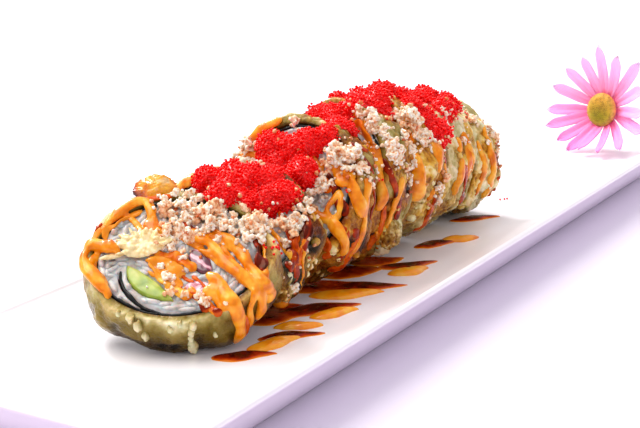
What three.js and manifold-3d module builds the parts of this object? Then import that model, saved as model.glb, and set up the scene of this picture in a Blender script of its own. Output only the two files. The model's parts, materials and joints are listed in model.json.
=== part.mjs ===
// A plate of sushi rolls: one battered and fried roll, cut in thick slices that lean back on each
// other in a row along a long porcelain plate, under fish roe, fried crumbs and two drizzled sauces,
// with a daisy laid beside it. Millimetres, +Z up. The origin is on the table under the middle of
// the plate, +X runs along the row to the flower's end, and +Y is the side away from the sauce tails.
import * as THREE from "three";
import { mergeVertices } from "three/addons/utils/BufferGeometryUtils.js";
import Module from "manifold-3d";

const wasm = await Module();
wasm.setup();

// Driving dimensions

const GAP = 0.3;
const WELD = 0.001;

const PLATE_LONG = 400;
const PLATE_WIDE = 104;
const PLATE_HIGH = 20;
const PLATE_CORNER = 11;
const LIP_THICK = 2.6;
const WELL_FLOOR = 15;
const WELL_INSET = 17;
const RIM_INSET = 15.4;
const FOOT_INSET = 16;
const FOOT_WIDE = 5;
const FOOT_RECESS = 3.5;

const ROW_START = -121.1;
const BATTER = 2.3;
const BATTER_BULGE = 1.3;
const BATTER_LUMP = 0.9;
const NORI_THICK = 0.8;
const ROUND_STEPS = 24;

// Each slice from the near end: its middle across the plate, its height and width over the cut
// face, its thickness, how far its face leans back and how far the face turns to the -Y side.
const SLICES = [
  { middle: 3, high: 48, wide: 54, thick: 13.5, lean: 56, turn: 28, spin: 0 },
  { middle: 4, high: 46, wide: 48, thick: 14, lean: 48, turn: 18, spin: 35 },
  { middle: -1, high: 52, wide: 47, thick: 16, lean: 32, turn: 5, spin: -30 },
  { middle: -2, high: 51, wide: 46, thick: 20, lean: 25, turn: 0, spin: 80 },
  { middle: -3, high: 49, wide: 45, thick: 22, lean: 18, turn: -3, spin: 140 },
  { middle: -3.5, high: 45.5, wide: 44, thick: 20, lean: 12, turn: -3, spin: -110 },
  { middle: -4.5, high: 39.5, wide: 43, thick: 20, lean: 7, turn: -2, spin: 20 },
];

// Fillings in the cut face, as fractions of the half width and half height of the slice.
const AVOCADO = { from: [-0.53, -0.16], to: [0.0, -0.66], outer: 0.17, inner: 0.05 };
const FISH = { at: [0.24, -0.08], long: 0.4, wide: 0.2, turned: -62 };
const CRAB = { at: [0.27, -0.5], long: 0.34, wide: 0.22, turned: -14 };
const GREEN = { at: [-0.36, 0.46], long: 0.2, wide: 0.11, turned: 55 };
const NORI_TAIL = { start: -97, end: -158, endAt: 0.655 };

// Sauce tails on the plate: middle x, middle y, length, width, heading and height.
const MAYO_HIGH = 1.7;
const EEL_HIGH = 1.0;
const TAILS = [
  [-131.9, -25.3, 19, 7.5, -50, EEL_HIGH],
  [-119.5, -27.4, 18, 7, -26, MAYO_HIGH],
  [-111.4, -28.4, 21, 5.5, -43, EEL_HIGH],
  [-103.6, -26.2, 15, 5.5, -45, MAYO_HIGH],
  [-87.6, -22.5, 30, 8, -41, EEL_HIGH],
  [-88.2, -29.4, 17, 6.5, -33, MAYO_HIGH],
  [-70.6, -23.8, 24, 7.5, -48, MAYO_HIGH],
  [-60.8, -25.2, 27, 7, -48, EEL_HIGH],
  [-33, -26.6, 22, 7, -38, EEL_HIGH],
  [-39.6, -30, 16, 6.5, -28, MAYO_HIGH],
  [-5.6, -23.5, 18, 7.5, -34, EEL_HIGH],
  [3.4, -28.4, 15, 6, -35, MAYO_HIGH],
  [32.1, -21.4, 21, 7, -42, EEL_HIGH],
];

// Thick mayo strands on a slice: points across, up and out from the back face, then the radius.
const STRANDS = [
  {
    on: 0,
    r: 1.9,
    path: [
      [3, 8, 15.4],
      [9, 3, 15.6],
      [14.5, -3, 15.6],
      [20.5, -11, 15],
      [26, -15, 9],
      [25.5, -16.5, 3],
    ],
  },
  {
    on: 0,
    r: 1.7,
    path: [
      [10, 9, 15.2],
      [16, 3.5, 15.4],
      [20.5, -3, 15.4],
      [24.6, -9, 14.4],
      [28.6, -9.5, 8],
    ],
  },
  {
    on: 0,
    r: 2.2,
    path: [
      [9, -7, 15.3],
      [13.5, -12, 15.4],
      [17, -17.4, 14.6],
      [19, -20, 8],
      [18, -21, 2.5],
    ],
  },
  {
    on: 0,
    r: 2.0,
    path: [
      [-17, -0.5, 15.2],
      [-22, 2.6, 15.6],
      [-27, 2.4, 15],
      [-27.6, -3, 13.8],
      [-23, -8.5, 14.6],
      [-18, -15, 15],
    ],
  },
  {
    on: 0,
    r: 1.8,
    path: [
      [-22.5, 11, 14.6],
      [-18.6, 16.6, 14.8],
      [-12, 18.6, 15],
      [-10.6, 14, 15.3],
      [-12, 9.5, 15.2],
    ],
  },
  {
    on: 1,
    r: 1.6,
    path: [
      [-20.5, 9, 13.5],
      [-18, 15, 13.8],
      [-13.5, 19.6, 13.4],
      [-8, 21.6, 12.5],
    ],
  },
  {
    on: 2,
    r: 1.6,
    path: [
      [-20.5, 11, 15],
      [-16, 19, 15.6],
      [-9, 24, 15.2],
    ],
  },
  {
    on: 2,
    r: 1.5,
    path: [
      [22.4, 4, 15],
      [17, 2, 17.9],
      [10.5, -3, 17.9],
      [12.5, -10, 17.9],
      [19, -15, 15.6],
    ],
  },
  {
    on: 2,
    r: 1.6,
    path: [
      [16, 14, 13],
      [21.5, 8.5, 12.5],
      [24, 1.5, 12],
      [23.4, -7, 9],
      [20, -15, 6],
    ],
  },
  {
    on: 3,
    r: 2.2,
    path: [
      [20.5, 12, 14],
      [23.6, 4, 13],
      [23.6, -5, 12],
      [20.6, -13, 9],
    ],
  },
  {
    on: 4,
    r: 2.9,
    path: [
      [21, 9, 13],
      [23.4, 2, 13],
      [22.4, -8, 12],
    ],
  },
  {
    on: 5,
    r: 1.8,
    path: [
      [20, 10, 14],
      [22.8, 1, 13],
      [20.8, -9, 12],
    ],
  },
  {
    on: 6,
    r: 1.7,
    path: [
      [16, 15, 12],
      [21.4, 6, 11],
      [21.4, -4, 10],
      [18.6, -12, 8],
    ],
  },
];

// Scraps of batter that stuck to a slice's side in the fryer: across, up and out, then the radius.
const SCRAPS = [
  { on: 1, at: [17.5, -17, 8], r: 4 },
  { on: 3, at: [20.8, -14, 6], r: 4.6 },
  { on: 4, at: [20.5, -7, 16], r: 4 },
];

// Roe: clumps on the slices, by slice, across, up and how far out from the back face. They lie in
// heaps that each reach from one slice to another.
const ROE_HEAPS = [
  [0, 1],
  [2, 3],
  [4, 6],
];
const ROE_CLUMP = 5.6;
const ROE_GRAIN = 0.8;
const ROE_SUNK = 0.1;
const ROE = [
  [0, 11, 23, 13],
  [0, 12, 24, 6],
  [1, -10, 16, 14],
  [1, -3, 19, 13],
  [1, -3, 12, 14],
  [1, 3, 17, 14],
  [1, 9, 18, 12],
  [1, 3, 8, 14],
  [1, 9, 9, 14],
  [1, 14, 12, 13],
  [1, 12, 20, 5],
  [1, 10, 23, -1],
  [2, 2, 2, 16],
  [2, 5, 6, 20],
  [2, -10, 15, 16],
  [2, -7, 8, 16],
  [2, -3, 14, 16],
  [2, 1, 8, 16],
  [2, 3, 17, 16],
  [2, 8, 21, 14],
  [2, 8, 24, 8],
  [2, 4, 25, 3],
  [3, -6, 19, 20],
  [3, 0, 19, 20],
  [3, 4, 23, 18],
  [3, -3, 25, 15],
  [3, 1, 26, 10],
  [3, 5, 25.5, 4],
  [4, -4, 22, 22],
  [4, 3, 22, 22],
  [4, 0, 25, 15],
  [4, 4, 24.5, 9],
  [4, 3, 24.5, 3],
  [4, 10, 22, 12],
  [4, 14, 19, 9],
  [4, 19, 15.5, 7],
  [5, 0, 22, 21],
  [5, 5, 22, 17],
  [5, 4, 23, 10],
  [5, 9, 21, 4],
  [5, 13, 19, 14],
  [6, 3, 18, 19],
];

// Fried crumbs: small heaps on the slices, each along a bent line of spots.
const CRUMB_SIZE = 2.3;
const CRUMB_STEP = 3.9;
const CRUMB_HEAPS = [
  {
    on: 0,
    seed: 91,
    line: [
      [-4, 15, 13.5],
      [2, 16, 13.5],
      [9, 12, 13.5],
      [16, 11, 13.5],
      [22, 12, 12],
      [23, 8, 13],
    ],
  },
  {
    on: 0,
    seed: 92,
    line: [
      [-2, 8, 13.5],
      [4, 6, 13.5],
    ],
  },
  {
    on: 1,
    seed: 93,
    line: [
      [21, 7, 13],
      [19, 3, 14],
      [20, 0, 13],
    ],
  },
  {
    on: 2,
    seed: 94,
    line: [
      [17, 14, 16],
      [13, 12, 16],
      [10, 5, 16],
      [8, -3, 16],
    ],
  },
  {
    on: 2,
    seed: 95,
    line: [
      [-18, 13, 16],
      [-17, 9, 16],
    ],
  },
  {
    on: 3,
    seed: 96,
    line: [
      [15, 18, 19],
      [19, 14, 17],
      [21, 10, 11],
      [22, 6, 5],
    ],
  },
  {
    on: 4,
    seed: 97,
    line: [
      [15, 18, 21],
      [19, 12, 17],
      [22, 4, 12],
    ],
  },
];

const FLAKE = { slice: 0, across: -11, up: 3, long: 15.5, wide: 11, thick: 1.3, turned: 20 };
const CURL = { slice: 0, across: -10.5, up: 23.2, out: 12.5, long: 12.5, high: 7.4, thick: 1.3 };

const FLOWER_AT = [168.5, -23, 33.4];
const FLOWER_FACES = [-0.956, 0.256, 0.145];
const PETALS = 16;
const PETAL_LONG = 24;
const PETAL_WIDE = 4.6;
const PETAL_THICK = 0.9;
const PETAL_CUP = 20;
const PETAL_SPLAY = 30;
const HUB_RADIUS = 7.2;
const EYE_RADIUS = 7.6;
const STEM_RADIUS = 1.4;

const rad = THREE.MathUtils.degToRad;

// Finishes

const PORCELAIN = new THREE.MeshStandardMaterial({ color: 0xf6f5f8, roughness: 0.12, metalness: 0 });
const FRIED_BATTER = new THREE.MeshStandardMaterial({ color: 0xbfa868, roughness: 0.55, metalness: 0 });
const SEAWEED = new THREE.MeshStandardMaterial({ color: 0x1d211c, roughness: 0.45, metalness: 0 });
const COOKED_RICE = new THREE.MeshStandardMaterial({ color: 0xd9d8dc, roughness: 0.4, metalness: 0 });
const RIPE_AVOCADO = new THREE.MeshStandardMaterial({ color: 0xa9bb4c, roughness: 0.4, metalness: 0 });
const RED_FISH = new THREE.MeshStandardMaterial({ color: 0x7a2f45, roughness: 0.3, metalness: 0 });
const CRAB_STICK = new THREE.MeshStandardMaterial({ color: 0xf0d4cf, roughness: 0.4, metalness: 0 });
const RED_ROE = new THREE.MeshStandardMaterial({ color: 0xe0190c, roughness: 0.2, metalness: 0 });
const PALE_CRUMB = new THREE.MeshStandardMaterial({ color: 0xf0dcc0, roughness: 0.6, metalness: 0 });
const AMBER_BATTER = new THREE.MeshStandardMaterial({ color: 0xd99a3a, roughness: 0.4, metalness: 0 });
const PINK_PETAL = new THREE.MeshStandardMaterial({ color: 0xf3a6d6, roughness: 0.6, metalness: 0 });
const YELLOW_EYE = new THREE.MeshStandardMaterial({ color: 0xb9a520, roughness: 0.8, metalness: 0 });
const GREEN_STEM = new THREE.MeshStandardMaterial({ color: 0x6f8a63, roughness: 0.6, metalness: 0 });

// Helpers for closed solids

function seeded(seed) {
  let state = seed;
  return () => {
    state = (state * 1664525 + 1013904223) % 4294967296;
    return state / 4294967296;
  };
}

function solidOf(geometry) {
  const bare = geometry.clone();
  bare.deleteAttribute("normal");
  bare.deleteAttribute("uv");
  const merged = mergeVertices(bare, WELD);
  return new wasm.Manifold(
    new wasm.Mesh({
      numProp: 3,
      vertProperties: merged.attributes.position.array,
      triVerts: new Uint32Array(merged.index.array),
    }),
  );
}

function geometryOf(solid) {
  const mesh = solid.getMesh();
  const corners = new Float32Array(mesh.numVert * 3);
  for (let i = 0; i < mesh.numVert; i++) {
    corners.set(mesh.vertProperties.subarray(i * mesh.numProp, i * mesh.numProp + 3), i * 3);
  }
  const geometry = new THREE.BufferGeometry();
  geometry.setAttribute("position", new THREE.BufferAttribute(corners, 3));
  geometry.setIndex(new THREE.BufferAttribute(mesh.triVerts, 1));
  geometry.computeVertexNormals();
  return geometry;
}

// The largest single body of a solid, without scraps that a cut leaves or holds by a hair.
function mainBody(solid) {
  const bodies = solidOf(geometryOf(solid)).decompose();
  return bodies.reduce((best, body) => (body.volume() > best.volume() ? body : best));
}

// A closed skin through rings of equal length, with a flat cap on the first and the last ring.
function loft(rings) {
  const steps = rings[0].length;
  const faces = [];
  for (let j = 0; j < rings.length - 1; j++) {
    const near = j * steps;
    const far = near + steps;
    for (let i = 0; i < steps; i++) {
      const k = (i + 1) % steps;
      faces.push(near + i, near + k, far + k);
      faces.push(near + i, far + k, far + i);
    }
  }
  const last = (rings.length - 1) * steps;
  const flat = rings[0].map((p) => new THREE.Vector2(p.x, p.y));
  for (const [a, b, c] of THREE.ShapeUtils.triangulateShape(flat, [])) {
    faces.push(c, b, a);
    faces.push(last + a, last + b, last + c);
  }
  const geometry = new THREE.BufferGeometry().setFromPoints(rings.flat());
  geometry.setIndex(faces);
  return geometry;
}

// A round bar along points, as an extrusion whose section has few sides.
function bar(points, radius, sides, steps) {
  const section = new THREE.Shape();
  for (let i = 0; i < sides; i++) {
    const angle = (i / sides) * Math.PI * 2;
    const x = Math.cos(angle) * radius;
    const y = Math.sin(angle) * radius;
    if (i === 0) section.moveTo(x, y);
    else section.lineTo(x, y);
  }
  const path = new THREE.CatmullRomCurve3(points);
  return new THREE.ExtrudeGeometry(section, { steps, extrudePath: path, bevelEnabled: false });
}

// A rough lump: a ball of few facets, turned at random, whose corners are pushed in and out.
function lump(ball, centre, roughness, draw) {
  const bare = ball.clone().rotateZ(draw() * 3).rotateX(draw() * 3);
  bare.deleteAttribute("normal");
  bare.deleteAttribute("uv");
  const rough = mergeVertices(bare, WELD);
  const place = rough.attributes.position;
  const point = new THREE.Vector3();
  for (let i = 0; i < place.count; i++) {
    point.fromBufferAttribute(place, i).multiplyScalar(1 + (draw() - 0.5) * 2 * roughness);
    place.setXYZ(i, point.x + centre.x, point.y + centre.y, point.z + centre.z);
  }
  return solidOf(rough);
}

// Plate

function roundedRing(inset, z) {
  const corner = Math.max(PLATE_CORNER - inset, 1.2);
  const x = PLATE_LONG / 2 - inset - corner;
  const y = PLATE_WIDE / 2 - inset - corner;
  const ring = [];
  const arcSteps = 4;
  for (const [sx, sy, from] of [[1, 1, 0], [-1, 1, 90], [-1, -1, 180], [1, -1, 270]]) {
    for (let i = 0; i <= arcSteps; i++) {
      const angle = rad(from + (i / arcSteps) * 90);
      const px = sx * x + Math.cos(angle) * corner;
      const py = sy * y + Math.sin(angle) * corner;
      ring.push(new THREE.Vector3(px, py, z));
    }
  }
  return ring;
}

function platePorcelain() {
  const profile = [
    [FOOT_INSET + FOOT_WIDE + 1, FOOT_RECESS],
    [FOOT_INSET + FOOT_WIDE, 0],
    [FOOT_INSET, 0],
    [FOOT_INSET - 2, 2.2],
    [2.2, PLATE_HIGH - 3.4],
    [0.3, PLATE_HIGH - 1.4],
    [0.3, PLATE_HIGH - 0.4],
    [0.9, PLATE_HIGH],
    [LIP_THICK, PLATE_HIGH - 0.3],
    [WELL_INSET * 0.55, WELL_FLOOR + 1.5],
    [WELL_INSET, WELL_FLOOR],
  ];
  return solidOf(loft(profile.map(([inset, z]) => roundedRing(inset, z))));
}

// All that lies inside an inset line of the plate. It parts the flat well on its foot from the
// sloping rim round it.
function insideLine(inset) {
  return solidOf(loft([roundedRing(inset, -GAP), roundedRing(inset, PLATE_HIGH + GAP)]));
}

// A sauce tail: a low drop with a round end and a drawn-out tip.
function sauceTail([x, y, long, wide, heading, high]) {
  const outline = [];
  const steps = 10;
  for (let i = 0; i < steps; i++) {
    const angle = (i / steps) * Math.PI * 2;
    const along = Math.cos(angle);
    const taper = along > 0 ? 1 - 0.62 * along : 1;
    outline.push([along * long * 0.5, Math.sin(angle) * wide * 0.5 * taper]);
  }
  const turned = rad(heading);
  const ringAt = (scale, z) =>
    outline.map(([u, v]) => {
      const px = x + (u * Math.cos(turned) - v * Math.sin(turned)) * scale;
      const py = y + (u * Math.sin(turned) + v * Math.cos(turned)) * scale;
      return new THREE.Vector3(px, py, WELL_FLOOR + z);
    });
  return solidOf(loft([ringAt(0.94, -1), ringAt(1, 0.15), ringAt(0.62, high)]));
}

// Slices

// Places each slice so that it leans on the next one: its back rim meets that slice's front face.
function placeSlices() {
  const placed = [];
  for (const [index, slice] of SLICES.entries()) {
    const lean = rad(slice.lean);
    const turn = rad(slice.turn);
    const side = new THREE.Vector3(Math.sin(turn), -Math.cos(turn), 0);
    const up = new THREE.Vector3(
      Math.cos(turn) * Math.sin(lean),
      Math.sin(turn) * Math.sin(lean),
      Math.cos(lean),
    );
    const out = new THREE.Vector3().crossVectors(side, up);
    const back = new THREE.Vector3(ROW_START, slice.middle, 0);
    back.z = WELL_FLOOR + (slice.high / 2) * Math.cos(lean);
    if (index > 0) {
      const near = placed[index - 1];
      const reachAcross = (near.wide / 2) * out.dot(near.side);
      const reachUp = (near.high / 2) * out.dot(near.up);
      const touch = out.dot(near.back) - Math.hypot(reachAcross, reachUp) - GAP - 0.2;
      back.x = (touch - slice.thick - out.y * back.y - out.z * back.z) / out.x;
    }
    const matrix = new THREE.Matrix4().makeBasis(side, up, out).setPosition(back);
    placed.push({ ...slice, index, side, up, out, back, matrix });
  }
  return placed;
}

const slices = placeSlices();

// How far the batter stands out from the plain oval, at an angle and a depth in the slice.
function batterRelief(slice, angle, depth) {
  const draw = seeded(100 + slice.index * 17);
  let relief = BATTER_BULGE * Math.sin((Math.PI * depth) / slice.thick);
  for (const waves of [3, 5, 8]) {
    const drift = (draw() - 0.5) * 0.3;
    relief += BATTER_LUMP * 0.5 * Math.sin(waves * angle + draw() * 6.3 + drift * depth);
  }
  for (let i = 0; i < 5; i++) {
    const at = draw() * Math.PI * 2;
    const deep = draw() * slice.thick;
    const turnBy = Math.atan2(Math.sin(angle - at), Math.cos(angle - at));
    const far = (turnBy / 0.28) ** 2 + ((depth - deep) / 4.5) ** 2;
    relief += 1.7 * Math.exp(-far);
  }
  return relief;
}

function ovalRing(slice, inset, depth, relieved) {
  const ring = [];
  for (let i = 0; i < ROUND_STEPS; i++) {
    const angle = (i / ROUND_STEPS) * Math.PI * 2;
    const extra = relieved ? batterRelief(slice, angle, Math.min(Math.max(depth, 0), slice.thick)) : 0;
    const x = Math.cos(angle) * (slice.wide / 2 - inset + extra);
    const y = Math.sin(angle) * (slice.high / 2 - inset + extra);
    ring.push(new THREE.Vector3(x, y, depth));
  }
  return ring;
}

function ovalDisc(slice, inset, from, to, relieved) {
  const rings = [from, to].map((depth) => ovalRing(slice, inset, depth, relieved));
  return solidOf(loft(rings));
}

// The whole battered outline of a slice, let out by a clearance, for cutting what lies against it.
function envelope(slice, clearance) {
  const rings = [];
  for (const part of [0, 0.33, 0.67, 1]) {
    const depth = part * slice.thick;
    const shift = part === 0 ? -clearance : part === 1 ? clearance : 0;
    const ring = ovalRing(slice, -clearance, depth, true);
    for (const point of ring) point.z += shift;
    rings.push(ring);
  }
  return solidOf(loft(rings));
}

function strandSolid(strand) {
  const points = strand.path.map(([x, y, z]) => new THREE.Vector3(x, y, z));
  return solidOf(bar(points, strand.r, 5, points.length + 1));
}

// The room that each strand and its clearance take, in the frame of the plate.
const strandRoom = STRANDS.map((strand) =>
  strandSolid({ ...strand, r: strand.r + GAP + 0.1 }).transform(slices[strand.on].matrix.elements),
);

// Everything of the next slice and beyond it, as one thick slab, in the frame of this slice.
function nextSliceSlab(slice) {
  const next = slices[slice.index + 1];
  const reach = 160;
  const slab = new THREE.BoxGeometry(reach, reach, reach);
  slab.translate(0, 0, next.thick + GAP - reach / 2);
  slab.applyMatrix4(next.matrix);
  slab.applyMatrix4(slice.matrix.clone().invert());
  return solidOf(slab);
}

function underPlateSlab(slice) {
  const reach = 200;
  const slab = new THREE.BoxGeometry(reach, reach, reach);
  slab.translate(slice.back.x, slice.back.y, WELL_FLOOR + GAP - reach / 2);
  slab.applyMatrix4(slice.matrix.clone().invert());
  return solidOf(slab);
}

function fryBatter(slice) {
  const rings = [];
  for (const part of [0, 0.33, 0.67, 1]) {
    rings.push(ovalRing(slice, 0, part * slice.thick, true));
  }
  let crust = solidOf(loft(rings));
  for (const strand of STRANDS) {
    if (strand.on === slice.index) crust = crust.add(strandSolid(strand));
  }
  for (const scrap of SCRAPS) {
    const centre = new THREE.Vector3(...scrap.at);
    const ball = new THREE.IcosahedronGeometry(scrap.r, 1);
    if (scrap.on === slice.index) crust = crust.add(lump(ball, centre, 0.14, seeded(9)));
  }
  crust = crust.subtract(ovalDisc(slice, BATTER, -1, slice.thick + GAP, false));
  crust = crust.subtract(underPlateSlab(slice));
  if (slice.index < slices.length - 1) crust = crust.subtract(nextSliceSlab(slice));
  const intoFrame = slice.matrix.clone().invert();
  for (const [i, strand] of STRANDS.entries()) {
    if (strand.on !== slice.index) crust = crust.subtract(strandRoom[i].transform(intoFrame.elements));
  }
  return mainBody(crust);
}

// The inner end of the seaweed, which winds inwards from the outer turn.
function noriTail(slice, thick, from, to) {
  const outline = [];
  const steps = 6;
  const inset = BATTER + GAP + NORI_THICK * 0.6;
  const reachAt = (half, part) => (half - inset) * (1 - part) + half * NORI_TAIL.endAt * part;
  const pointAt = (part, offset) => {
    const angle = rad(NORI_TAIL.start + (NORI_TAIL.end - NORI_TAIL.start) * part + slice.spin);
    const x = Math.cos(angle) * (reachAt(slice.wide / 2, part) + offset);
    const y = Math.sin(angle) * (reachAt(slice.high / 2, part) + offset);
    return new THREE.Vector2(x, y);
  };
  for (let i = 0; i <= steps; i++) outline.push(pointAt(i / steps, thick / 2));
  for (let i = steps; i >= 0; i--) outline.push(pointAt(i / steps, -thick / 2));
  return prism(outline, from, to);
}

function prism(outline, from, to) {
  const shape = new THREE.Shape(outline);
  const geometry = new THREE.ExtrudeGeometry(shape, { depth: to - from, bevelEnabled: false });
  geometry.translate(0, 0, from);
  return solidOf(geometry);
}

function rollNori(slice) {
  const outer = ovalDisc(slice, BATTER + GAP, 0, slice.thick, false);
  const inner = ovalDisc(slice, BATTER + GAP + NORI_THICK, -1, slice.thick + 1, false);
  return mainBody(outer.subtract(inner).add(noriTail(slice, NORI_THICK, 0, slice.thick)));
}

// A filling's outline, let out by a clearance: fractions of the slice become millimetres.
function fillingOutline(slice, kind, clearance) {
  const spin = rad(slice.spin);
  const place = ([u, v]) => {
    const x = (u * Math.cos(spin) - v * Math.sin(spin)) * (slice.wide / 2);
    const y = (u * Math.sin(spin) + v * Math.cos(spin)) * (slice.high / 2);
    return new THREE.Vector2(x, y);
  };
  const outline = [];
  const let_out = clearance / (slice.high / 2);
  if (kind === AVOCADO) {
    const from = new THREE.Vector2(...AVOCADO.from);
    const to = new THREE.Vector2(...AVOCADO.to);
    const along = to.clone().sub(from);
    const across = new THREE.Vector2(along.y, -along.x).normalize();
    from.addScaledVector(along, -let_out * 1.6);
    to.addScaledVector(along, let_out * 1.6);
    const steps = 5;
    for (let i = 0; i <= steps; i++) {
      const swell = Math.sin((Math.PI * i) / steps) ** 0.7;
      const point = from.clone().lerp(to, i / steps);
      outline.push(point.addScaledVector(across, (AVOCADO.outer + let_out) * swell).toArray());
    }
    for (let i = steps - 1; i > 0; i--) {
      const swell = Math.sin((Math.PI * i) / steps) ** 0.7;
      const point = from.clone().lerp(to, i / steps);
      outline.push(point.addScaledVector(across, -(AVOCADO.inner + let_out) * swell).toArray());
    }
  } else {
    const steps = 9;
    for (let i = 0; i < steps; i++) {
      const angle = (i / steps) * Math.PI * 2;
      const u = Math.cos(angle) * (kind.long / 2 + let_out);
      const v = Math.sin(angle) * (kind.wide / 2 + let_out);
      const turned = rad(kind.turned);
      outline.push([
        kind.at[0] + u * Math.cos(turned) - v * Math.sin(turned),
        kind.at[1] + u * Math.sin(turned) + v * Math.cos(turned),
      ]);
    }
  }
  return outline.map(place);
}

function layFilling(slice, kind) {
  const outline = fillingOutline(slice, kind, 0);
  if (THREE.ShapeUtils.area(outline) < 0) outline.reverse();
  return prism(outline, 0, slice.thick);
}

function fillingsOf(slice) {
  return slice.index === 0 ? [AVOCADO, FISH, CRAB, GREEN] : [AVOCADO, FISH, CRAB];
}

function packRice(slice) {
  const inset = BATTER + GAP * 2 + NORI_THICK;
  let rice = ovalDisc(slice, inset, 0, slice.thick, false);
  rice = rice.subtract(noriTail(slice, NORI_THICK + GAP * 2, -1, slice.thick + 1));
  for (const kind of fillingsOf(slice)) {
    const outline = fillingOutline(slice, kind, GAP * 1.3);
    if (THREE.ShapeUtils.area(outline) < 0) outline.reverse();
    rice = rice.subtract(prism(outline, -1, slice.thick + 1));
  }
  return mainBody(rice);
}

// Toppings

const envelopes = slices.map((slice) => envelope(slice, GAP + 0.05).transform(slice.matrix.elements));

function spotOn(index, across, up, out) {
  return new THREE.Vector3(across, up, out).applyMatrix4(slices[index].matrix);
}

function clearOfSlices(heap) {
  let cut = heap;
  for (const solid of [...envelopes, ...strandRoom]) cut = cut.subtract(solid);
  return mainBody(cut);
}

// Both kinds of heap can be let out by a clearance, to cut what lies beside them.
function roeClumps([first, last], clearance) {
  const draw = seeded(7 + first);
  let heap = null;
  for (const [index, across, up, out] of ROE.filter((spot) => spot[0] >= first && spot[0] <= last)) {
    const radius = ROE_CLUMP * (0.9 + 0.25 * draw());
    const centre = spotOn(index, across, up, out);
    centre.z -= radius * ROE_SUNK;
    const ball = new THREE.OctahedronGeometry(radius + clearance, 1);
    const clump = lump(ball, centre, ROE_GRAIN / radius, draw);
    heap = heap ? heap.add(clump) : clump;
  }
  return heap;
}

function crumbClumps({ on, line, seed }, clearance) {
  const draw = seeded(seed);
  const path = new THREE.CatmullRomCurve3(line.map(([x, y, z]) => spotOn(on, x, y, z)));
  const count = Math.round(path.getLength() / CRUMB_STEP);
  let heap = null;
  for (const point of path.getSpacedPoints(count)) {
    for (let i = 0; i < 2; i++) {
      const radius = CRUMB_SIZE * (0.75 + 0.6 * draw());
      const shift = new THREE.Vector3(draw() - 0.5, draw() - 0.5, draw() - 0.2);
      const centre = point.clone().addScaledVector(shift, 3.2);
      const ball = new THREE.IcosahedronGeometry(radius + clearance);
      const crumb = lump(ball, centre, 0.22, draw);
      heap = heap ? heap.add(crumb) : crumb;
    }
  }
  return heap;
}

function batterFlake() {
  const slice = slices[FLAKE.slice];
  const draw = seeded(31);
  const steps = 9;
  const outline = [];
  for (let i = 0; i < steps; i++) {
    const angle = (i / steps) * Math.PI * 2;
    const ragged = 0.82 + 0.3 * draw();
    const u = Math.cos(angle) * FLAKE.long * 0.5 * ragged;
    const v = Math.sin(angle) * FLAKE.wide * 0.5 * ragged;
    outline.push([u, v]);
  }
  const turned = rad(FLAKE.turned);
  const ringAt = (scale, lift) =>
    outline.map(([u, v], i) => {
      const x = FLAKE.across + (u * Math.cos(turned) - v * Math.sin(turned)) * scale;
      const y = FLAKE.up + (u * Math.sin(turned) + v * Math.cos(turned)) * scale;
      return new THREE.Vector3(x, y, slice.thick + GAP + lift + (i % 2 ? 0.25 : 0));
    });
  const rings = [
    ringAt(0.9, 0.1),
    ringAt(1, 0.5),
    ringAt(0.75, FLAKE.thick),
    ringAt(0.35, FLAKE.thick + 1.1),
  ];
  const flake = solidOf(loft(rings)).transform(slice.matrix.elements);
  return clearOfSlices(flake);
}

// A curled scrap of batter that stands on the top edge of the first slice.
function batterCurl() {
  const slice = slices[CURL.slice];
  const outline = [];
  const steps = 7;
  const bow = (part) => -Math.sin(Math.PI * part) * 3.2;
  for (let i = 0; i <= steps; i++) {
    outline.push(new THREE.Vector2((i / steps - 0.5) * CURL.long, bow(i / steps)));
  }
  for (let i = steps; i >= 0; i--) {
    outline.push(new THREE.Vector2((i / steps - 0.5) * CURL.long * 0.84, bow(i / steps) + CURL.thick));
  }
  const sheet = new THREE.ExtrudeGeometry(new THREE.Shape(outline), {
    depth: CURL.high,
    steps: 2,
    bevelEnabled: false,
  });
  sheet.translate(0, 0, -CURL.high / 2);
  sheet.rotateX(-Math.PI / 2 + 0.5);
  sheet.translate(CURL.across, CURL.up + CURL.high / 2 - 0.6, CURL.out - 2);
  return clearOfSlices(solidOf(sheet).transform(slice.matrix.elements));
}

// Flower

function flowerFrame() {
  const out = new THREE.Vector3(...FLOWER_FACES).normalize();
  const side = new THREE.Vector3(0, 0, 1).cross(out).normalize();
  const up = new THREE.Vector3().crossVectors(out, side);
  return new THREE.Matrix4().makeBasis(side, up, out).setPosition(...FLOWER_AT);
}

// One narrow petal: a flat strip of few facets that swells, lifts and ends in a blunt tip.
function petal(heading, cup, long) {
  const stations = [
    [0, 0.4],
    [0.45, 0.95],
    [0.85, 0.9],
    [1, 0.3],
  ];
  const rings = stations.map(([part, width]) => {
    const half = (PETAL_WIDE / 2) * width;
    const thick = PETAL_THICK / 2;
    const along = HUB_RADIUS * 0.6 + part * long * Math.cos(cup);
    const lift = part * long * Math.sin(cup) * (0.55 + 0.45 * part);
    return [
      new THREE.Vector3(-half, lift + 0.5 * width, along),
      new THREE.Vector3(0, lift - thick, along),
      new THREE.Vector3(half, lift + 0.5 * width, along),
      new THREE.Vector3(0, lift + thick, along),
    ];
  });
  return loft(rings).rotateX(Math.PI / 2).rotateZ(heading);
}

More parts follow.
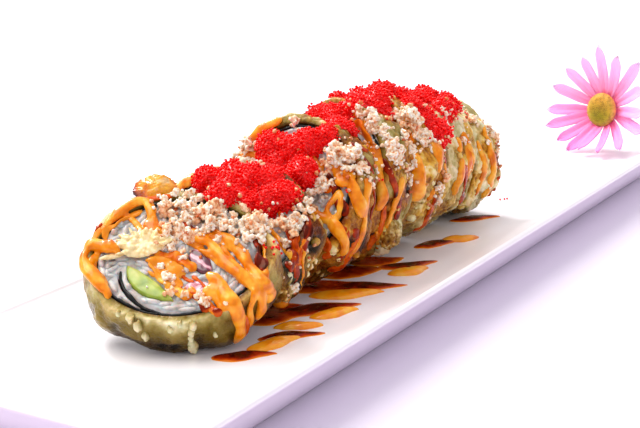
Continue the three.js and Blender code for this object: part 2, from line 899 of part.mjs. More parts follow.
function flowerHead() {
  const draw = seeded(5);
  const hub = new THREE.CylinderGeometry(HUB_RADIUS, HUB_RADIUS * 0.8, 2.4, 12);
  hub.rotateX(Math.PI / 2);
  let head = solidOf(hub);
  for (let i = 0; i < PETALS; i++) {
    const heading = ((i + 0.35 * draw()) / PETALS) * Math.PI * 2;
    const low = Math.max(0, Math.cos(heading));
    const cup = rad(PETAL_CUP + (draw() - 0.5) * 14 + PETAL_SPLAY * low * low);
    const long = PETAL_LONG * (0.88 + 0.2 * draw());
    head = head.add(solidOf(petal(heading, cup, long)));
  }
  head = head.subtract(eyeSolid(GAP)).transform(flowerFrame().elements);
  const below = new THREE.BoxGeometry(400, 300, 100);
  below.translate(0, 0, WELL_FLOOR + GAP - 50);
  return mainBody(head.subtract(solidOf(below)));
}

// The eye of the flower, a low button in the flower's own frame, let out by a clearance.
function eyeSolid(clearance) {
  const profile = [
    [0, -clearance],
    [EYE_RADIUS * 0.8 + clearance, -clearance],
    [EYE_RADIUS + clearance, 1.4],
    [EYE_RADIUS * 0.8 + clearance, 3 + clearance],
    [0, 3.8 + clearance],
  ];
  const eye = new THREE.LatheGeometry(profile.map(([x, y]) => new THREE.Vector2(x, y)), 14);
  eye.rotateX(Math.PI / 2);
  eye.translate(0, 0, 1.2 + GAP);
  return solidOf(eye);
}

function flowerStem() {
  const start = -1.2 - GAP;
  const cup = new THREE.CylinderGeometry(STEM_RADIUS * 1.2, HUB_RADIUS * 0.75, 5, 10);
  cup.rotateX(-Math.PI / 2);
  cup.translate(0, 0, start - 2.5);
  const points = [
    new THREE.Vector3(0, 0, start - 3),
    new THREE.Vector3(0, 0, start - 11),
    new THREE.Vector3(1, -1, start - 20),
    new THREE.Vector3(2, -0.6, start - 30),
  ];
  const stem = solidOf(bar(points, STEM_RADIUS, 7, 7));
  return solidOf(cup).add(stem).transform(flowerFrame().elements);
}

// Assembly

const plateOfSushi = new THREE.Group();

function addNode(name, solid, material, parent = plateOfSushi) {
  const mesh = new THREE.Mesh(geometryOf(solid), material);
  mesh.name = name;
  parent.add(mesh);
}

let well = platePorcelain().intersect(insideLine(RIM_INSET + GAP));
for (const tail of TAILS) {
  let sauce = sauceTail(tail);
  for (const solid of envelopes) sauce = sauce.subtract(solid);
  well = well.add(mainBody(sauce));
}
addNode("plate", well, PORCELAIN);
addNode("plate_rim", platePorcelain().subtract(insideLine(RIM_INSET)), PORCELAIN);

for (const slice of slices) {
  const group = new THREE.Group();
  group.applyMatrix4(slice.matrix);
  plateOfSushi.add(group);
  const number = slice.index + 1;
  addNode("crust_" + number, fryBatter(slice), FRIED_BATTER, group);
  addNode("nori_" + number, rollNori(slice), SEAWEED, group);
  addNode("rice_" + number, packRice(slice), COOKED_RICE, group);
  addNode("avocado_" + number, layFilling(slice, AVOCADO), RIPE_AVOCADO, group);
  addNode("fish_" + number, layFilling(slice, FISH), RED_FISH, group);
  addNode("crab_" + number, layFilling(slice, CRAB), CRAB_STICK, group);
  if (slice.index === 0) addNode("green_1", layFilling(slice, GREEN), RIPE_AVOCADO, group);
}

let taken = platePorcelain();
for (const [i, heap] of ROE_HEAPS.entries()) {
  addNode("roe_" + (i + 1), mainBody(clearOfSlices(roeClumps(heap, 0)).subtract(taken)), RED_ROE);
  taken = taken.add(roeClumps(heap, GAP));
}
for (const [i, heap] of CRUMB_HEAPS.entries()) {
  addNode("crunch_" + (i + 1), mainBody(clearOfSlices(crumbClumps(heap, 0)).subtract(taken)), PALE_CRUMB);
  taken = taken.add(crumbClumps(heap, GAP));
}
addNode("batter_flake", batterFlake(), FRIED_BATTER);
addNode("batter_curl", batterCurl(), AMBER_BATTER);
addNode("flower_petals", flowerHead(), PINK_PETAL);
addNode("flower_eye", eyeSolid(0).transform(flowerFrame().elements), YELLOW_EYE);
addNode("flower_stem", flowerStem(), GREEN_STEM);

export default plateOfSushi;
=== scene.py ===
# %% [markdown]
# A plate of sushi rolls. One battered and fried roll is cut in seven thick slices that lean back on
# each other along a porcelain plate. They carry fish roe, fried crumbs and two drizzled sauces, and a
# daisy lies at the far end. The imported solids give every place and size. Here each of them gets the
# surface of the real food: grains, eggs, crags, fibres and wet sauce.

# %% Load the frame
import json
import math
import bmesh
import bpy
import numpy as np
from mathutils import Matrix, Vector, noise
from mathutils.bvhtree import BVHTree

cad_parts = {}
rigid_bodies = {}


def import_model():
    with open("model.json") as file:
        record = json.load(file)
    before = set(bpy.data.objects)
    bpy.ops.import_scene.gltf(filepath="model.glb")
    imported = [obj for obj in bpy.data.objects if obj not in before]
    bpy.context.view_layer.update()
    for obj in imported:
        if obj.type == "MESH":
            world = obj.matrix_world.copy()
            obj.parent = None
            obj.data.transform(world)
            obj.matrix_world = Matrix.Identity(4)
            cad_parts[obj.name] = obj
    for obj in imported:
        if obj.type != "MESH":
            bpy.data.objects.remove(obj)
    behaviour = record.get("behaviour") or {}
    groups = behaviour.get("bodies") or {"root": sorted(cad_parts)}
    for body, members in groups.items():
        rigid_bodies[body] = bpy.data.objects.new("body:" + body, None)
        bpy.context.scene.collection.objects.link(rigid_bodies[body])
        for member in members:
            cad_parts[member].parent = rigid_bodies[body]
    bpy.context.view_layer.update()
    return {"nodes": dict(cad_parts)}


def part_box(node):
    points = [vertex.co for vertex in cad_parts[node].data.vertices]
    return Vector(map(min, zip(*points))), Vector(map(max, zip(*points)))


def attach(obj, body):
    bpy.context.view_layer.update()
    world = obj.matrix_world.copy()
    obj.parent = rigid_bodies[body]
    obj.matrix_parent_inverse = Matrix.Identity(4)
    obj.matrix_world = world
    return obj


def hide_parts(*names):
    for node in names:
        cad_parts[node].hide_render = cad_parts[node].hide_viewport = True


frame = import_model()
MM = 0.001

# %% [markdown]
# Every piece is made in millimetres from rings, grids and small balls, and scaled to metres once, when
# it is finished. A few helpers do what all the food needs: a seeded draw that gives the same numbers
# each run, a soft noise field, a skin through rings, and a way to repeat one small shape many times.

# %% Draws and noise
def seeded(seed):
    """The same plain counter that placed the lumps of the solids, so both agree."""
    state = seed

    def draw():
        nonlocal state
        state = (state * 1664525 + 1013904223) % 4294967296
        return state / 4294967296

    return draw


def lumps(points, size, octaves=1, shift=0.0):
    """Soft noise from about -1 to 1, with lumps of that size in millimetres."""
    places = (np.asarray(points, float) / size + shift).tolist()
    if octaves == 1:
        return np.array([noise.noise(place) for place in places])
    return np.array([noise.fractal(place, 1.0, 2.0, octaves) for place in places])


# %% Rings and skins
def ring_loop(bm, ring):
    corners = [bm.verts.new(point) for point in ring]
    edges = [bm.edges.new(pair) for pair in zip(corners, corners[1:] + corners[:1])]
    return corners, edges


def loft(bm, rings, capped=True):
    """A skin that is extruded from the first ring through all the others, and capped at both ends."""
    loop, edges = ring_loop(bm, rings[0])
    if capped:
        bm.faces.new(loop[::-1])
    for ring in rings[1:]:
        made = bmesh.ops.extrude_edge_only(bm, edges=edges)["geom"]
        fresh = {part.co.to_tuple(5): part for part in made if isinstance(part, bmesh.types.BMVert)}
        loop = [fresh[corner.co.to_tuple(5)] for corner in loop]
        inside = set(loop)
        edges = [
            part for part in made
            if isinstance(part, bmesh.types.BMEdge) and inside.issuperset(part.verts)
        ]
        for corner, point in zip(loop, ring):
            corner.co = point
    if capped:
        bm.faces.new(loop)
    return loop


def face_out(bm, weld=0.0005):
    bmesh.ops.remove_doubles(bm, verts=bm.verts, dist=weld)
    bmesh.ops.recalc_face_normals(bm, faces=bm.faces)


# %% Meshes and their points
def mesh_of(bm, name):
    mesh = bpy.data.meshes.new(name)
    bm.to_mesh(mesh)
    bm.free()
    return mesh


def points_of(mesh):
    flat = np.empty(len(mesh.vertices) * 3)
    mesh.vertices.foreach_get("co", flat)
    return flat.reshape(-1, 3)


def move_points(mesh, points):
    mesh.vertices.foreach_set("co", np.asarray(points, float).ravel())
    mesh.update()


def normals_of(mesh):
    flat = np.empty(len(mesh.vertices) * 3)
    mesh.vertex_normals.foreach_get("vector", flat)
    return flat.reshape(-1, 3)


def joined(meshes, name):
    bm = bmesh.new()
    for mesh in meshes:
        bm.from_mesh(mesh)
        bpy.data.meshes.remove(mesh)
    return mesh_of(bm, name)


def painted(mesh, name, values):
    """Keeps one number for each point with the mesh, for its finish to read."""
    layer = mesh.attributes.get(name) or mesh.attributes.new(name, "FLOAT", "POINT")
    layer.data.foreach_set("value", np.asarray(values, np.float32))


# %% One small shape many times
def repeated(template, places, name):
    """Joins a copy of the template mesh for each 4 by 4 matrix of places into one mesh."""
    base = np.c_[points_of(template), np.ones(len(template.vertices))]
    turns = np.array([np.array(place) for place in places])
    points = np.einsum("nij,vj->nvi", turns, base)[:, :, :3].reshape(-1, 3)
    sizes = np.array([face.loop_total for face in template.polygons])
    corners = np.array([corner.vertex_index for corner in template.loops])
    count = len(turns)
    step = len(template.vertices)
    mesh = bpy.data.meshes.new(name)
    mesh.vertices.add(len(points))
    mesh.vertices.foreach_set("co", points.ravel())
    mesh.loops.add(len(corners) * count)
    every_corner = (corners[None, :] + np.arange(count)[:, None] * step).ravel()
    mesh.loops.foreach_set("vertex_index", every_corner.astype(np.int32))
    mesh.polygons.add(len(sizes) * count)
    every_size = np.tile(sizes, count)
    starts = np.concatenate([[0], np.cumsum(every_size)[:-1]])
    mesh.polygons.foreach_set("loop_start", starts.astype(np.int32))
    mesh.update(calc_edges=True)
    mesh.validate()
    return mesh


def placed(centre, along, across, sizes):
    """A matrix that puts a shape at a centre, with its X along and its Y near across."""
    x = Vector(along).normalized()
    z = x.cross(Vector(across))
    z = z.normalized() if z.length > 1e-6 else x.orthogonal().normalized()
    y = z.cross(x)
    turn = Matrix((x * sizes[0], y * sizes[1], z * sizes[2])).transposed().to_4x4()
    turn.translation = Vector(centre)
    return turn


# %% Blobs that melt into one skin
def modified(mesh, kind, **settings):
    """A new mesh: the old one after one modifier, which is then gone again."""
    holder = bpy.data.objects.new("holder", mesh)
    bpy.context.scene.collection.objects.link(holder)
    change = holder.modifiers.new("change", kind)
    for name, value in settings.items():
        setattr(change, name, value)
    shown = holder.evaluated_get(bpy.context.evaluated_depsgraph_get())
    skin = bpy.data.meshes.new_from_object(shown)
    bpy.data.objects.remove(holder)
    return skin


def fused(mesh, voxel, rounds):
    """Remeshes overlapping blobs into one closed skin, and softens it."""
    skin = modified(mesh, "REMESH", mode="VOXEL", voxel_size=voxel)
    bpy.data.meshes.remove(mesh)
    return modified(skin, "SMOOTH", factor=0.5, iterations=rounds) if rounds else skin


def stand_out(mesh, rounds):
    """How far each point stands out of its surroundings, in millimetres."""
    calm = modified(mesh, "SMOOTH", factor=0.5, iterations=rounds)
    away = points_of(mesh) - points_of(calm)
    bpy.data.meshes.remove(calm)
    return (away * normals_of(mesh)).sum(1)


# %% Finish a piece
def piece(mesh, name, finish, stands_for=()):
    mesh.transform(Matrix.Scale(MM, 4))
    mesh.name = name
    mesh.materials.clear()
    mesh.materials.append(finish)
    mesh.shade_smooth()
    thing = bpy.data.objects.new(name, mesh)
    bpy.context.scene.collection.objects.link(thing)
    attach(thing, "root")
    if stands_for:
        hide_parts(*stands_for)
    triangles = sum(face.loop_total - 2 for face in mesh.polygons)
    print(f"{name}: {triangles} triangles")
    return thing


# %% [markdown]
# The camera stands low at the near end of the plate, close to it, with a long lens, so the front slice
# is large and the flower at the far end is small. Its place and turn were found by matching the plate's
# edges and the row. The light is a bright white room with one large soft lamp from behind on the left,
# which leaves a pale lilac shade on the right of the plate and small glints on everything wet.

# %% Camera
IMAGE_WIDE = 640
FOCAL_PIXELS = 1435
CAMERA_AT = Vector((-446.254, -234.374, 160.128))
CAMERA_LOOKS = Vector((0.83154633, 0.48786483, -0.26555612))
CAMERA_RIGHT = Vector((0.50603376, -0.86251367, 0))
CAMERA_UP = Vector((0.22904578, 0.13438036, 0.9640954))

lens = bpy.data.cameras.new("camera")
lens.sensor_width = 36
lens.lens = FOCAL_PIXELS / IMAGE_WIDE * lens.sensor_width
lens.clip_start = 0.01
camera = bpy.data.objects.new("camera", lens)
bpy.context.scene.collection.objects.link(camera)
turned = Matrix((CAMERA_RIGHT, CAMERA_UP, -CAMERA_LOOKS)).transposed().to_4x4()
turned.translation = CAMERA_AT * MM
camera.matrix_world = turned
bpy.context.scene.camera = camera
print("lens:", round(lens.lens, 2), "mm")


# %% Table, room and lamp
def srgb(red, green, blue):
    """A colour as it shows on a screen, from 0 to 255, in the renderer's linear light."""
    parts = [part / 255 for part in (red, green, blue)]
    linear = [part / 12.92 if part <= 0.04045 else ((part + 0.055) / 1.055) ** 2.4 for part in parts]
    return (*linear, 1.0)


FLOOR_HALF = 6.0
table = bmesh.new()
bmesh.ops.create_grid(table, x_segments=2, y_segments=2, size=FLOOR_HALF)
floor_mesh = mesh_of(table, "table")
floor = bpy.data.objects.new("table", floor_mesh)
bpy.context.scene.collection.objects.link(floor)
cloth = bpy.data.materials.new("pale_table")
cloth.use_nodes = True
cloth.node_tree.nodes["Principled BSDF"].inputs["Base Color"].default_value = srgb(244, 238, 250)
cloth.node_tree.nodes["Principled BSDF"].inputs["Roughness"].default_value = 0.7
floor_mesh.materials.append(cloth)

room = bpy.data.worlds.new("white_room")
room.use_nodes = True
backdrop = room.node_tree.nodes["Background"]
backdrop.inputs["Color"].default_value = srgb(252, 249, 255)
direction = room.node_tree.nodes.new("ShaderNodeSeparateXYZ")
overhead = room.node_tree.nodes.new("ShaderNodeMapRange")
room.node_tree.links.new(room.node_tree.nodes.new("ShaderNodeTexCoord").outputs["Generated"], direction.inputs["Vector"])
room.node_tree.links.new(direction.outputs["Z"], overhead.inputs["Value"])
overhead.inputs["From Max"].default_value = 0.6
overhead.inputs["To Min"].default_value = 0.34
overhead.inputs["To Max"].default_value = 0.88
room.node_tree.links.new(overhead.outputs["Result"], backdrop.inputs["Strength"])
bpy.context.scene.world = room
bpy.context.scene.view_settings.view_transform = "Standard"


def soft_lamp(name, place, target, size, power):
    light = bpy.data.lights.new(name, "AREA")
    light.shape = "DISK"
    light.size = size
    light.energy = power
    lamp = bpy.data.objects.new(name, light)
    bpy.context.scene.collection.objects.link(lamp)
    lamp.location = place
    lamp.rotation_euler = (Vector(target) - Vector(place)).to_track_quat("-Z", "Y").to_euler()
    return lamp


sky = bpy.data.lights.new("window", "SUN")
sky.energy = 2.1
sky.angle = math.radians(48)
sky.color = srgb(255, 250, 244)[:3]
window = bpy.data.objects.new("window", sky)
bpy.context.scene.collection.objects.link(window)
WINDOW_FROM = Vector((-0.15, 0.5, 1.0))
window.rotation_euler = WINDOW_FROM.to_track_quat("Z", "Y").to_euler()
LAMP_TARGET = (-0.08, 0.0, 0.04)
soft_lamp("back_lamp", (0.15, 0.55, 0.6), LAMP_TARGET, 0.25, 5)

# %% [markdown]
# Each finish is built from noise that reads the object's own coordinates, so a pattern stays at its
# real size wherever the piece lies. A colour ramp turns the noise into the two or three colours that
# the food shows, and the same noise, or a finer one, gives a small bump and an uneven gloss.

# %% Finish helpers
def new_finish(name, roughness, sockets=()):
    finish = bpy.data.materials.new(name)
    finish.use_nodes = True
    tree = finish.node_tree
    shader = tree.nodes["Principled BSDF"]
    shader.inputs["Roughness"].default_value = roughness
    for socket, value in dict(sockets).items():
        shader.inputs[socket].default_value = value
    place = tree.nodes.new("ShaderNodeTexCoord").outputs["Object"]
    return finish, tree, shader, place


def speckle(tree, place, size, detail=3.0, roughness=0.55, warp=0.0):
    """Noise with spots of about that size in millimetres."""
    grain = tree.nodes.new("ShaderNodeTexNoise")
    grain.inputs["Scale"].default_value = 1 / (size * MM)
    grain.inputs["Detail"].default_value = detail
    grain.inputs["Roughness"].default_value = roughness
    grain.inputs["Distortion"].default_value = warp
    tree.links.new(place, grain.inputs["Vector"])
    return grain.outputs["Fac"]


def cells(tree, place, size, feature="F1"):
    pattern = tree.nodes.new("ShaderNodeTexVoronoi")
    pattern.feature = feature
    pattern.inputs["Scale"].default_value = 1 / (size * MM)
    tree.links.new(place, pattern.inputs["Vector"])
    return pattern.outputs["Distance"]


def kept(tree, name):
    """The number that a mesh keeps for each of its points."""
    layer = tree.nodes.new("ShaderNodeAttribute")
    layer.attribute_name = name
    return layer.outputs["Fac"]


def ramp(tree, value, stops):
    scale = tree.nodes.new("ShaderNodeValToRGB")
    scale.color_ramp.elements[0].position = stops[0][0]
    scale.color_ramp.elements[0].color = stops[0][1]
    scale.color_ramp.elements[1].position = stops[-1][0]
    scale.color_ramp.elements[1].color = stops[-1][1]
    for position, colour in stops[1:-1]:
        scale.color_ramp.elements.new(position).color = colour
    tree.links.new(value, scale.inputs["Fac"])
    return scale.outputs["Color"]


def blended(tree, share, first, second, blend="MIX"):
    mix = tree.nodes.new("ShaderNodeMix")
    mix.data_type = "RGBA"
    mix.blend_type = blend
    for socket, value in ((mix.inputs["Factor"], share), (mix.inputs[6], first), (mix.inputs[7], second)):
        if isinstance(value, bpy.types.NodeSocket):
            tree.links.new(value, socket)
        else:
            socket.default_value = value
    return mix.outputs[2]


def between(tree, value, from_low, from_high, to_low, to_high):
    span = tree.nodes.new("ShaderNodeMapRange")
    for socket, number in zip(list(span.inputs)[1:5], (from_low, from_high, to_low, to_high)):
        socket.default_value = number
    tree.links.new(value, span.inputs["Value"])
    return span.outputs["Result"]


def times(tree, first, second):
    both = tree.nodes.new("ShaderNodeMath")
    both.operation = "MULTIPLY"
    tree.links.new(first, both.inputs[0])
    tree.links.new(second, both.inputs[1])
    return both.outputs["Value"]


def raised(tree, shader, height, depth, strength=1.0, under=None):
    """Bump from a height, with its depth in millimetres, over an earlier bump if there is one."""
    bump = tree.nodes.new("ShaderNodeBump")
    bump.inputs["Strength"].default_value = strength
    bump.inputs["Distance"].default_value = depth * MM
    tree.links.new(height, bump.inputs["Height"])
    if under:
        tree.links.new(under, bump.inputs["Normal"])
    tree.links.new(bump.outputs["Normal"], shader.inputs["Normal"])
    return bump.outputs["Normal"]


# %% [markdown]
# The slices stand on a chain: the first has a fixed place, and each next one is set back until the rim
# of the slice before it just touches its cut face. The solids were placed by this rule, so the pieces
# made here follow it too, from the same sizes, and land on them without any fitting.

# %% Sizes of the slices
GAP = 0.3
PLATE_LONG = 400
PLATE_WIDE = 104
PLATE_HIGH = 20
PLATE_CORNER = 11
WELL_FLOOR = 15
WELL_INSET = 17
ROW_START = -121.1
BATTER = 2.3
NORI_THICK = 0.8
SIZE_NAMES = ("middle", "high", "wide", "thick", "lean", "turn", "spin")
SLICE_SIZES = [
    (3, 48, 54, 13.5, 56, 28, 0),
    (4, 46, 48, 14, 48, 18, 35),
    (-1, 52, 47, 16, 32, 5, -30),
    (-2, 51, 46, 20, 25, 0, 80),
    (-3, 49, 45, 22, 18, -3, 140),
    (-3.5, 45.5, 44, 20, 12, -3, -110),
    (-4.5, 39.5, 43, 20, 7, -2, 20),
]


# %% Place the slices
class Slice:
    """A slice's sizes, with its own frame: across, up along the cut face, and out of that face."""

    def __init__(self, index, sizes):
        self.index = index
        for name, value in zip(SIZE_NAMES, sizes):
            setattr(self, name, value)
        lean = math.radians(self.lean)
        turn = math.radians(self.turn)
        self.side = Vector((math.sin(turn), -math.cos(turn), 0))
        self.up = Vector((math.cos(turn) * math.sin(lean), math.sin(turn) * math.sin(lean), math.cos(lean)))
        self.out = self.side.cross(self.up)
        self.back = Vector((ROW_START, self.middle, WELL_FLOOR + self.high / 2 * math.cos(lean)))

    def set_behind(self, near):
        rim = math.hypot(near.wide / 2 * self.out.dot(near.side), near.high / 2 * self.out.dot(near.up))
        touch = self.out.dot(near.back) - rim - GAP - 0.2
        self.back.x = (touch - self.thick - self.out.y * self.back.y - self.out.z * self.back.z) / self.out.x

    def fix(self):
        self.matrix = Matrix((self.side, self.up, self.out)).transposed().to_4x4()
        self.matrix.translation = self.back
        self.turn_matrix = np.array(self.matrix)
        self.inverse = np.array(self.matrix.inverted())

    def to_plate(self, points):
        points = np.asarray(points, float)
        return points @ self.turn_matrix[:3, :3].T + self.turn_matrix[:3, 3]

    def to_slice(self, points):
        points = np.asarray(points, float)
        return points @ self.inverse[:3, :3].T + self.inverse[:3, 3]


slices = []
for number, sizes in enumerate(SLICE_SIZES):
    made = Slice(number, sizes)
    if slices:
        made.set_behind(slices[-1])
    made.fix()
    slices.append(made)
for part in slices:
    low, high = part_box(f"rice_{part.index + 1}")
    middle = (low + high) / 2 / MM
    print(part.index + 1, "off the solid by", round((part.matrix @ Vector((0, 0, part.thick / 2)) - middle).length, 2))


# %% [markdown]
# The plate is glazed porcelain: a long shallow tray with a soft lip and a flat well. It is one skin
# through rounded rectangles, from under the foot, round the lip and down to the well, with many more
# rings round the lip than the solid has, so that it catches the light as one smooth edge.

# %% Porcelain finish
def porcelain():
    finish, tree, shader, place = new_finish("porcelain", 0.32, {"Coat Weight": 0.15, "Coat Roughness": 0.12})
    cloud = speckle(tree, place, 60, 2)
    glaze = ramp(tree, cloud, [(0.3, srgb(251, 247, 252)), (0.7, srgb(254, 252, 254))])
    # Painted shade: faces that point down, the plate's flank and underside, are mixed towards a lilac grey.
    facing = tree.nodes.new("ShaderNodeSeparateXYZ")
    tree.links.new(tree.nodes.new("ShaderNodeTexCoord").outputs["Normal"], facing.inputs["Vector"])
    under = between(tree, facing.outputs["Z"], -0.5, 0.05, 1, 0)
    tree.links.new(blended(tree, under, glaze, srgb(232, 221, 236)), shader.inputs["Base Color"])
    raised(tree, shader, speckle(tree, place, 9, 1), 0.02, 0.25)
    return finish


# %% Plate skin
FOOT_INSET = 16
FOOT_WIDE = 5
FOOT_RECESS = 3.5
LIP_THICK = 2.6
CORNER_STEPS = 12


def rounded_ring(inset, z):
    corner = max(PLATE_CORNER - inset, 1.2)
    x = PLATE_LONG / 2 - inset - corner
    y = PLATE_WIDE / 2 - inset - corner
    ring = []
    for quarter, (across, along) in enumerate(((1, 1), (-1, 1), (-1, -1), (1, -1))):
        for step in range(CORNER_STEPS + 1):
            angle = (quarter + step / CORNER_STEPS) * math.pi / 2
            ring.append((across * x + math.cos(angle) * corner, along * y + math.sin(angle) * corner, z))
    return ring


def plate_profile():
    """Inset and height, from under the plate round the lip to the well."""
    profile = [
        (FOOT_INSET + FOOT_WIDE + 1.5, FOOT_RECESS),
        (FOOT_INSET + FOOT_WIDE + 0.6, FOOT_RECESS - 0.3),
        (FOOT_INSET + FOOT_WIDE, 0.5),
        (FOOT_INSET + FOOT_WIDE - 0.6, 0),
        (FOOT_INSET + 0.6, 0),
        (FOOT_INSET, 0.4),
        (FOOT_INSET - 2, 2.2),
    ]
    flank = 6
    for step in range(1, flank + 1):
        part = step / flank
        profile.append((FOOT_INSET - 2 - (FOOT_INSET - 4.2) * part, 2.2 + 14.4 * part - 0.5 * math.sin(math.pi * part)))
    lip_steps = 8
    for step in range(lip_steps + 1):
        angle = math.pi * (1.0 - step / lip_steps) + 0.35
        profile.append((1.5 + 1.25 * math.cos(angle), PLATE_HIGH - 1.25 + 1.25 * math.sin(angle)))
    slope = 10
    for step in range(1, slope + 1):
        part = step / slope
        drop = (1 - part) ** 1.65
        profile.append((LIP_THICK + (WELL_INSET - LIP_THICK) * part, WELL_FLOOR + 4.55 * drop))
    profile.append((WELL_INSET + 9, WELL_FLOOR))
    return profile


def plate_piece():
    bm = bmesh.new()
    loft(bm, [rounded_ring(inset, z) for inset, z in plate_profile()])
    face_out(bm)
    return mesh_of(bm, "plate_skin")


piece(plate_piece(), "plate_skin", porcelain(), ["plate", "plate_rim"])

# %% [markdown]
# The batter is a tempura crust, two or three millimetres thick, that puffed and ran in the hot oil. Its
# section is spun round the slice as a ring of small faces. The ring then takes the slice's oval, the
# broad relief of the solid, and over it what the solid can't hold: runs, blisters and fine crags. How
# far each point stands out is kept with the mesh, so that the finish can make high crags pale and dry
# and low ones olive, brown and oily, and darker also as painted shade. Hollows and the crust near the
# plate get more painted shade.

# %% Batter relief
BATTER_BULGE = 1.3
BATTER_LUMP = 0.9
SPIN_RADIUS = 20.0


def batter_relief(part, angle, depth):
    draw = seeded(100 + part.index * 17)
    relief = BATTER_BULGE * np.sin(math.pi * depth / part.thick)
    for waves in (3, 5, 8):
        drift = (draw() - 0.5) * 0.3
        relief = relief + BATTER_LUMP * 0.5 * np.sin(waves * angle + draw() * 6.3 + drift * depth)
    for _ in range(5):
        at = draw() * math.pi * 2
        deep = draw() * part.thick
        turn_by = np.arctan2(np.sin(angle - at), np.cos(angle - at))
        relief = relief + 1.7 * np.exp(-((turn_by / 0.28) ** 2 + ((depth - deep) / 4.5) ** 2))
    return relief


# %% Keep food off the plate and off the next slice
def settled(part, points, floor=WELL_FLOOR + GAP):
    """Points of a slice in the plate's frame, moved clear of the next slice's face and of the plate."""
    world = part.to_plate(points)
    if part.index + 1 < len(slices):
        behind = slices[part.index + 1]
        out = np.array(behind.out)
        face = np.array(behind.back) + out * (behind.thick + GAP)
        short = np.minimum((world - face) @ out, 0)
        world = world - np.outer(short / part.out.dot(behind.out), np.array(part.out))
    world[:, 2] = np.maximum(world[:, 2], floor)
    return world


# %% Hollows in the batter, darkened as painted shade
CRISP = (0.4, 1, 1, 1, 1, 1, 1)
RIM_PALE = (0.3, 0.08, 0.08, 0.08, 0.08, 0.08, 0.08)
SIDE_PALE = (0, -0.14, -0.06, -0.03, 0.06, 0.18, 0.2)
SHADED_HOLLOWS = [
    (0, 0.5, -25.5, 4.5, 2.0), (0, -3, -25, 4, 1.4),
    (1, 21.2, -11.5, 12.5, 3.4), (1, 22.4, -8, 12.5, 2.4), (1, 23.9, -1.3, 8, 2.2), (1, 20, -13, 6, 2.6),
    (2, 21, -11, 5, 4), (2, 20, -13, 11, 2.6), (2, 23, 5, 2, 2.6),
    (3, 17, -17, 13, 2.6), (3, 22.6, 2, 6, 2.4),
    (4, 22, -4, 3, 3), (5, 21, -8, 4, 2.6), (6, 21, 2, 3, 2.4),
]


def hollow_shade(part, points):
    """How deep in a hollow each point of a crust lies, from 0 to 1; the crust is pushed in there and darkened as
    painted shade.
    """
    deep = np.zeros(len(points))
    for index, across, up, out, radius in SHADED_HOLLOWS:
        if index == part.index:
            off = (points - (across, up, out)) / (radius * (1 + 0.3 * lumps(points, 3, 1, across)))[:, None]
            deep = np.maximum(deep, np.exp(-(off ** 2).sum(1)))
    return deep


# %% Crust of one slice
FINE_STEP = 0.5


def batter_ring(part):
    bm = bmesh.new()
    rows = round(part.thick / FINE_STEP)
    rim = 5
    section = [(0, part.thick * i / rows) for i in range(rows)]
    section += [(-BATTER * i / rim, part.thick) for i in range(rim)]
    section += [(-BATTER, part.thick * (1 - i / 6)) for i in range(6)]
    section += [(-BATTER * (1 - i / rim), 0) for i in range(rim)]
    loop, edges = ring_loop(bm, [(SPIN_RADIUS + outset, 0, depth) for outset, depth in section])
    steps = 340 if part.index < 2 else 280
    bmesh.ops.spin(
        bm, geom=loop + edges, cent=(0, 0, 0), axis=(0, 0, 1), angle=math.tau, steps=steps, use_merge=True
    )
    face_out(bm)
    return mesh_of(bm, "batter")


def fry(part):
    mesh = batter_ring(part)
    raw = points_of(mesh)
    angle = np.arctan2(raw[:, 1], raw[:, 0])
    outset = np.hypot(raw[:, 0], raw[:, 1]) - SPIN_RADIUS
    depth = raw[:, 2]
    share = (outset + BATTER) / BATTER
    smooth = np.c_[np.cos(angle) * part.wide / 2, np.sin(angle) * part.high / 2, depth]
    shift = part.index * 7.3
    runs = lumps(smooth * (1, 1, 0.6), 5.5, 2, shift)
    blisters = np.maximum(lumps(smooth, 2.6, 1, shift + 3), 0) ** 1.5
    crags = 1 - np.abs(lumps(smooth, 1.9, 1, shift + 9)) * 2
    fine = lumps(smooth, 0.9, 2, shift + 5)
    crisp = CRISP[part.index]
    crag = 0.9 * runs + crisp * (1.6 * blisters + 0.45 * crags + 0.4 * fine)
    # Painted shade: the crust is pushed in and darkened in the listed hollows.
    pit_shade = hollow_shade(part, smooth)
    grown = batter_relief(part, angle, depth) + crag * (0.55 + 0.45 * np.sin(math.pi * depth / part.thick)) - 1.5 * pit_shade
    reach = -BATTER + share * (BATTER + grown)
    x = np.cos(angle) * (part.wide / 2 + reach)
    y = np.sin(angle) * (part.high / 2 + reach)
    on_face = (share > 0.05) & (share < 0.999)
    cut = np.where(on_face, lumps(np.c_[x, y, depth], 2.6, 2, shift + 20) * 0.35, 0)
    z = depth + np.where(depth > part.thick / 2, cut, -cut)
    move_points(mesh, settled(part, np.c_[x, y, z]))
    # Tone for the finish: a little paler near the cut face, and on the first slice darker towards its back as painted
    # shade.
    rim = np.clip((depth - part.thick + 3.5) / 3.5, 0, 1) * RIM_PALE[part.index]
    rim = rim - (0.3 if part.index == 0 else 0) * (1 - depth / part.thick)
    tone = 0.45 + SIDE_PALE[part.index] + 0.3 * crag + rim - pit_shade
    painted(mesh, "crag", np.clip(tone, 0, 1) * np.clip(0.3 + share, 0, 1))
    return mesh


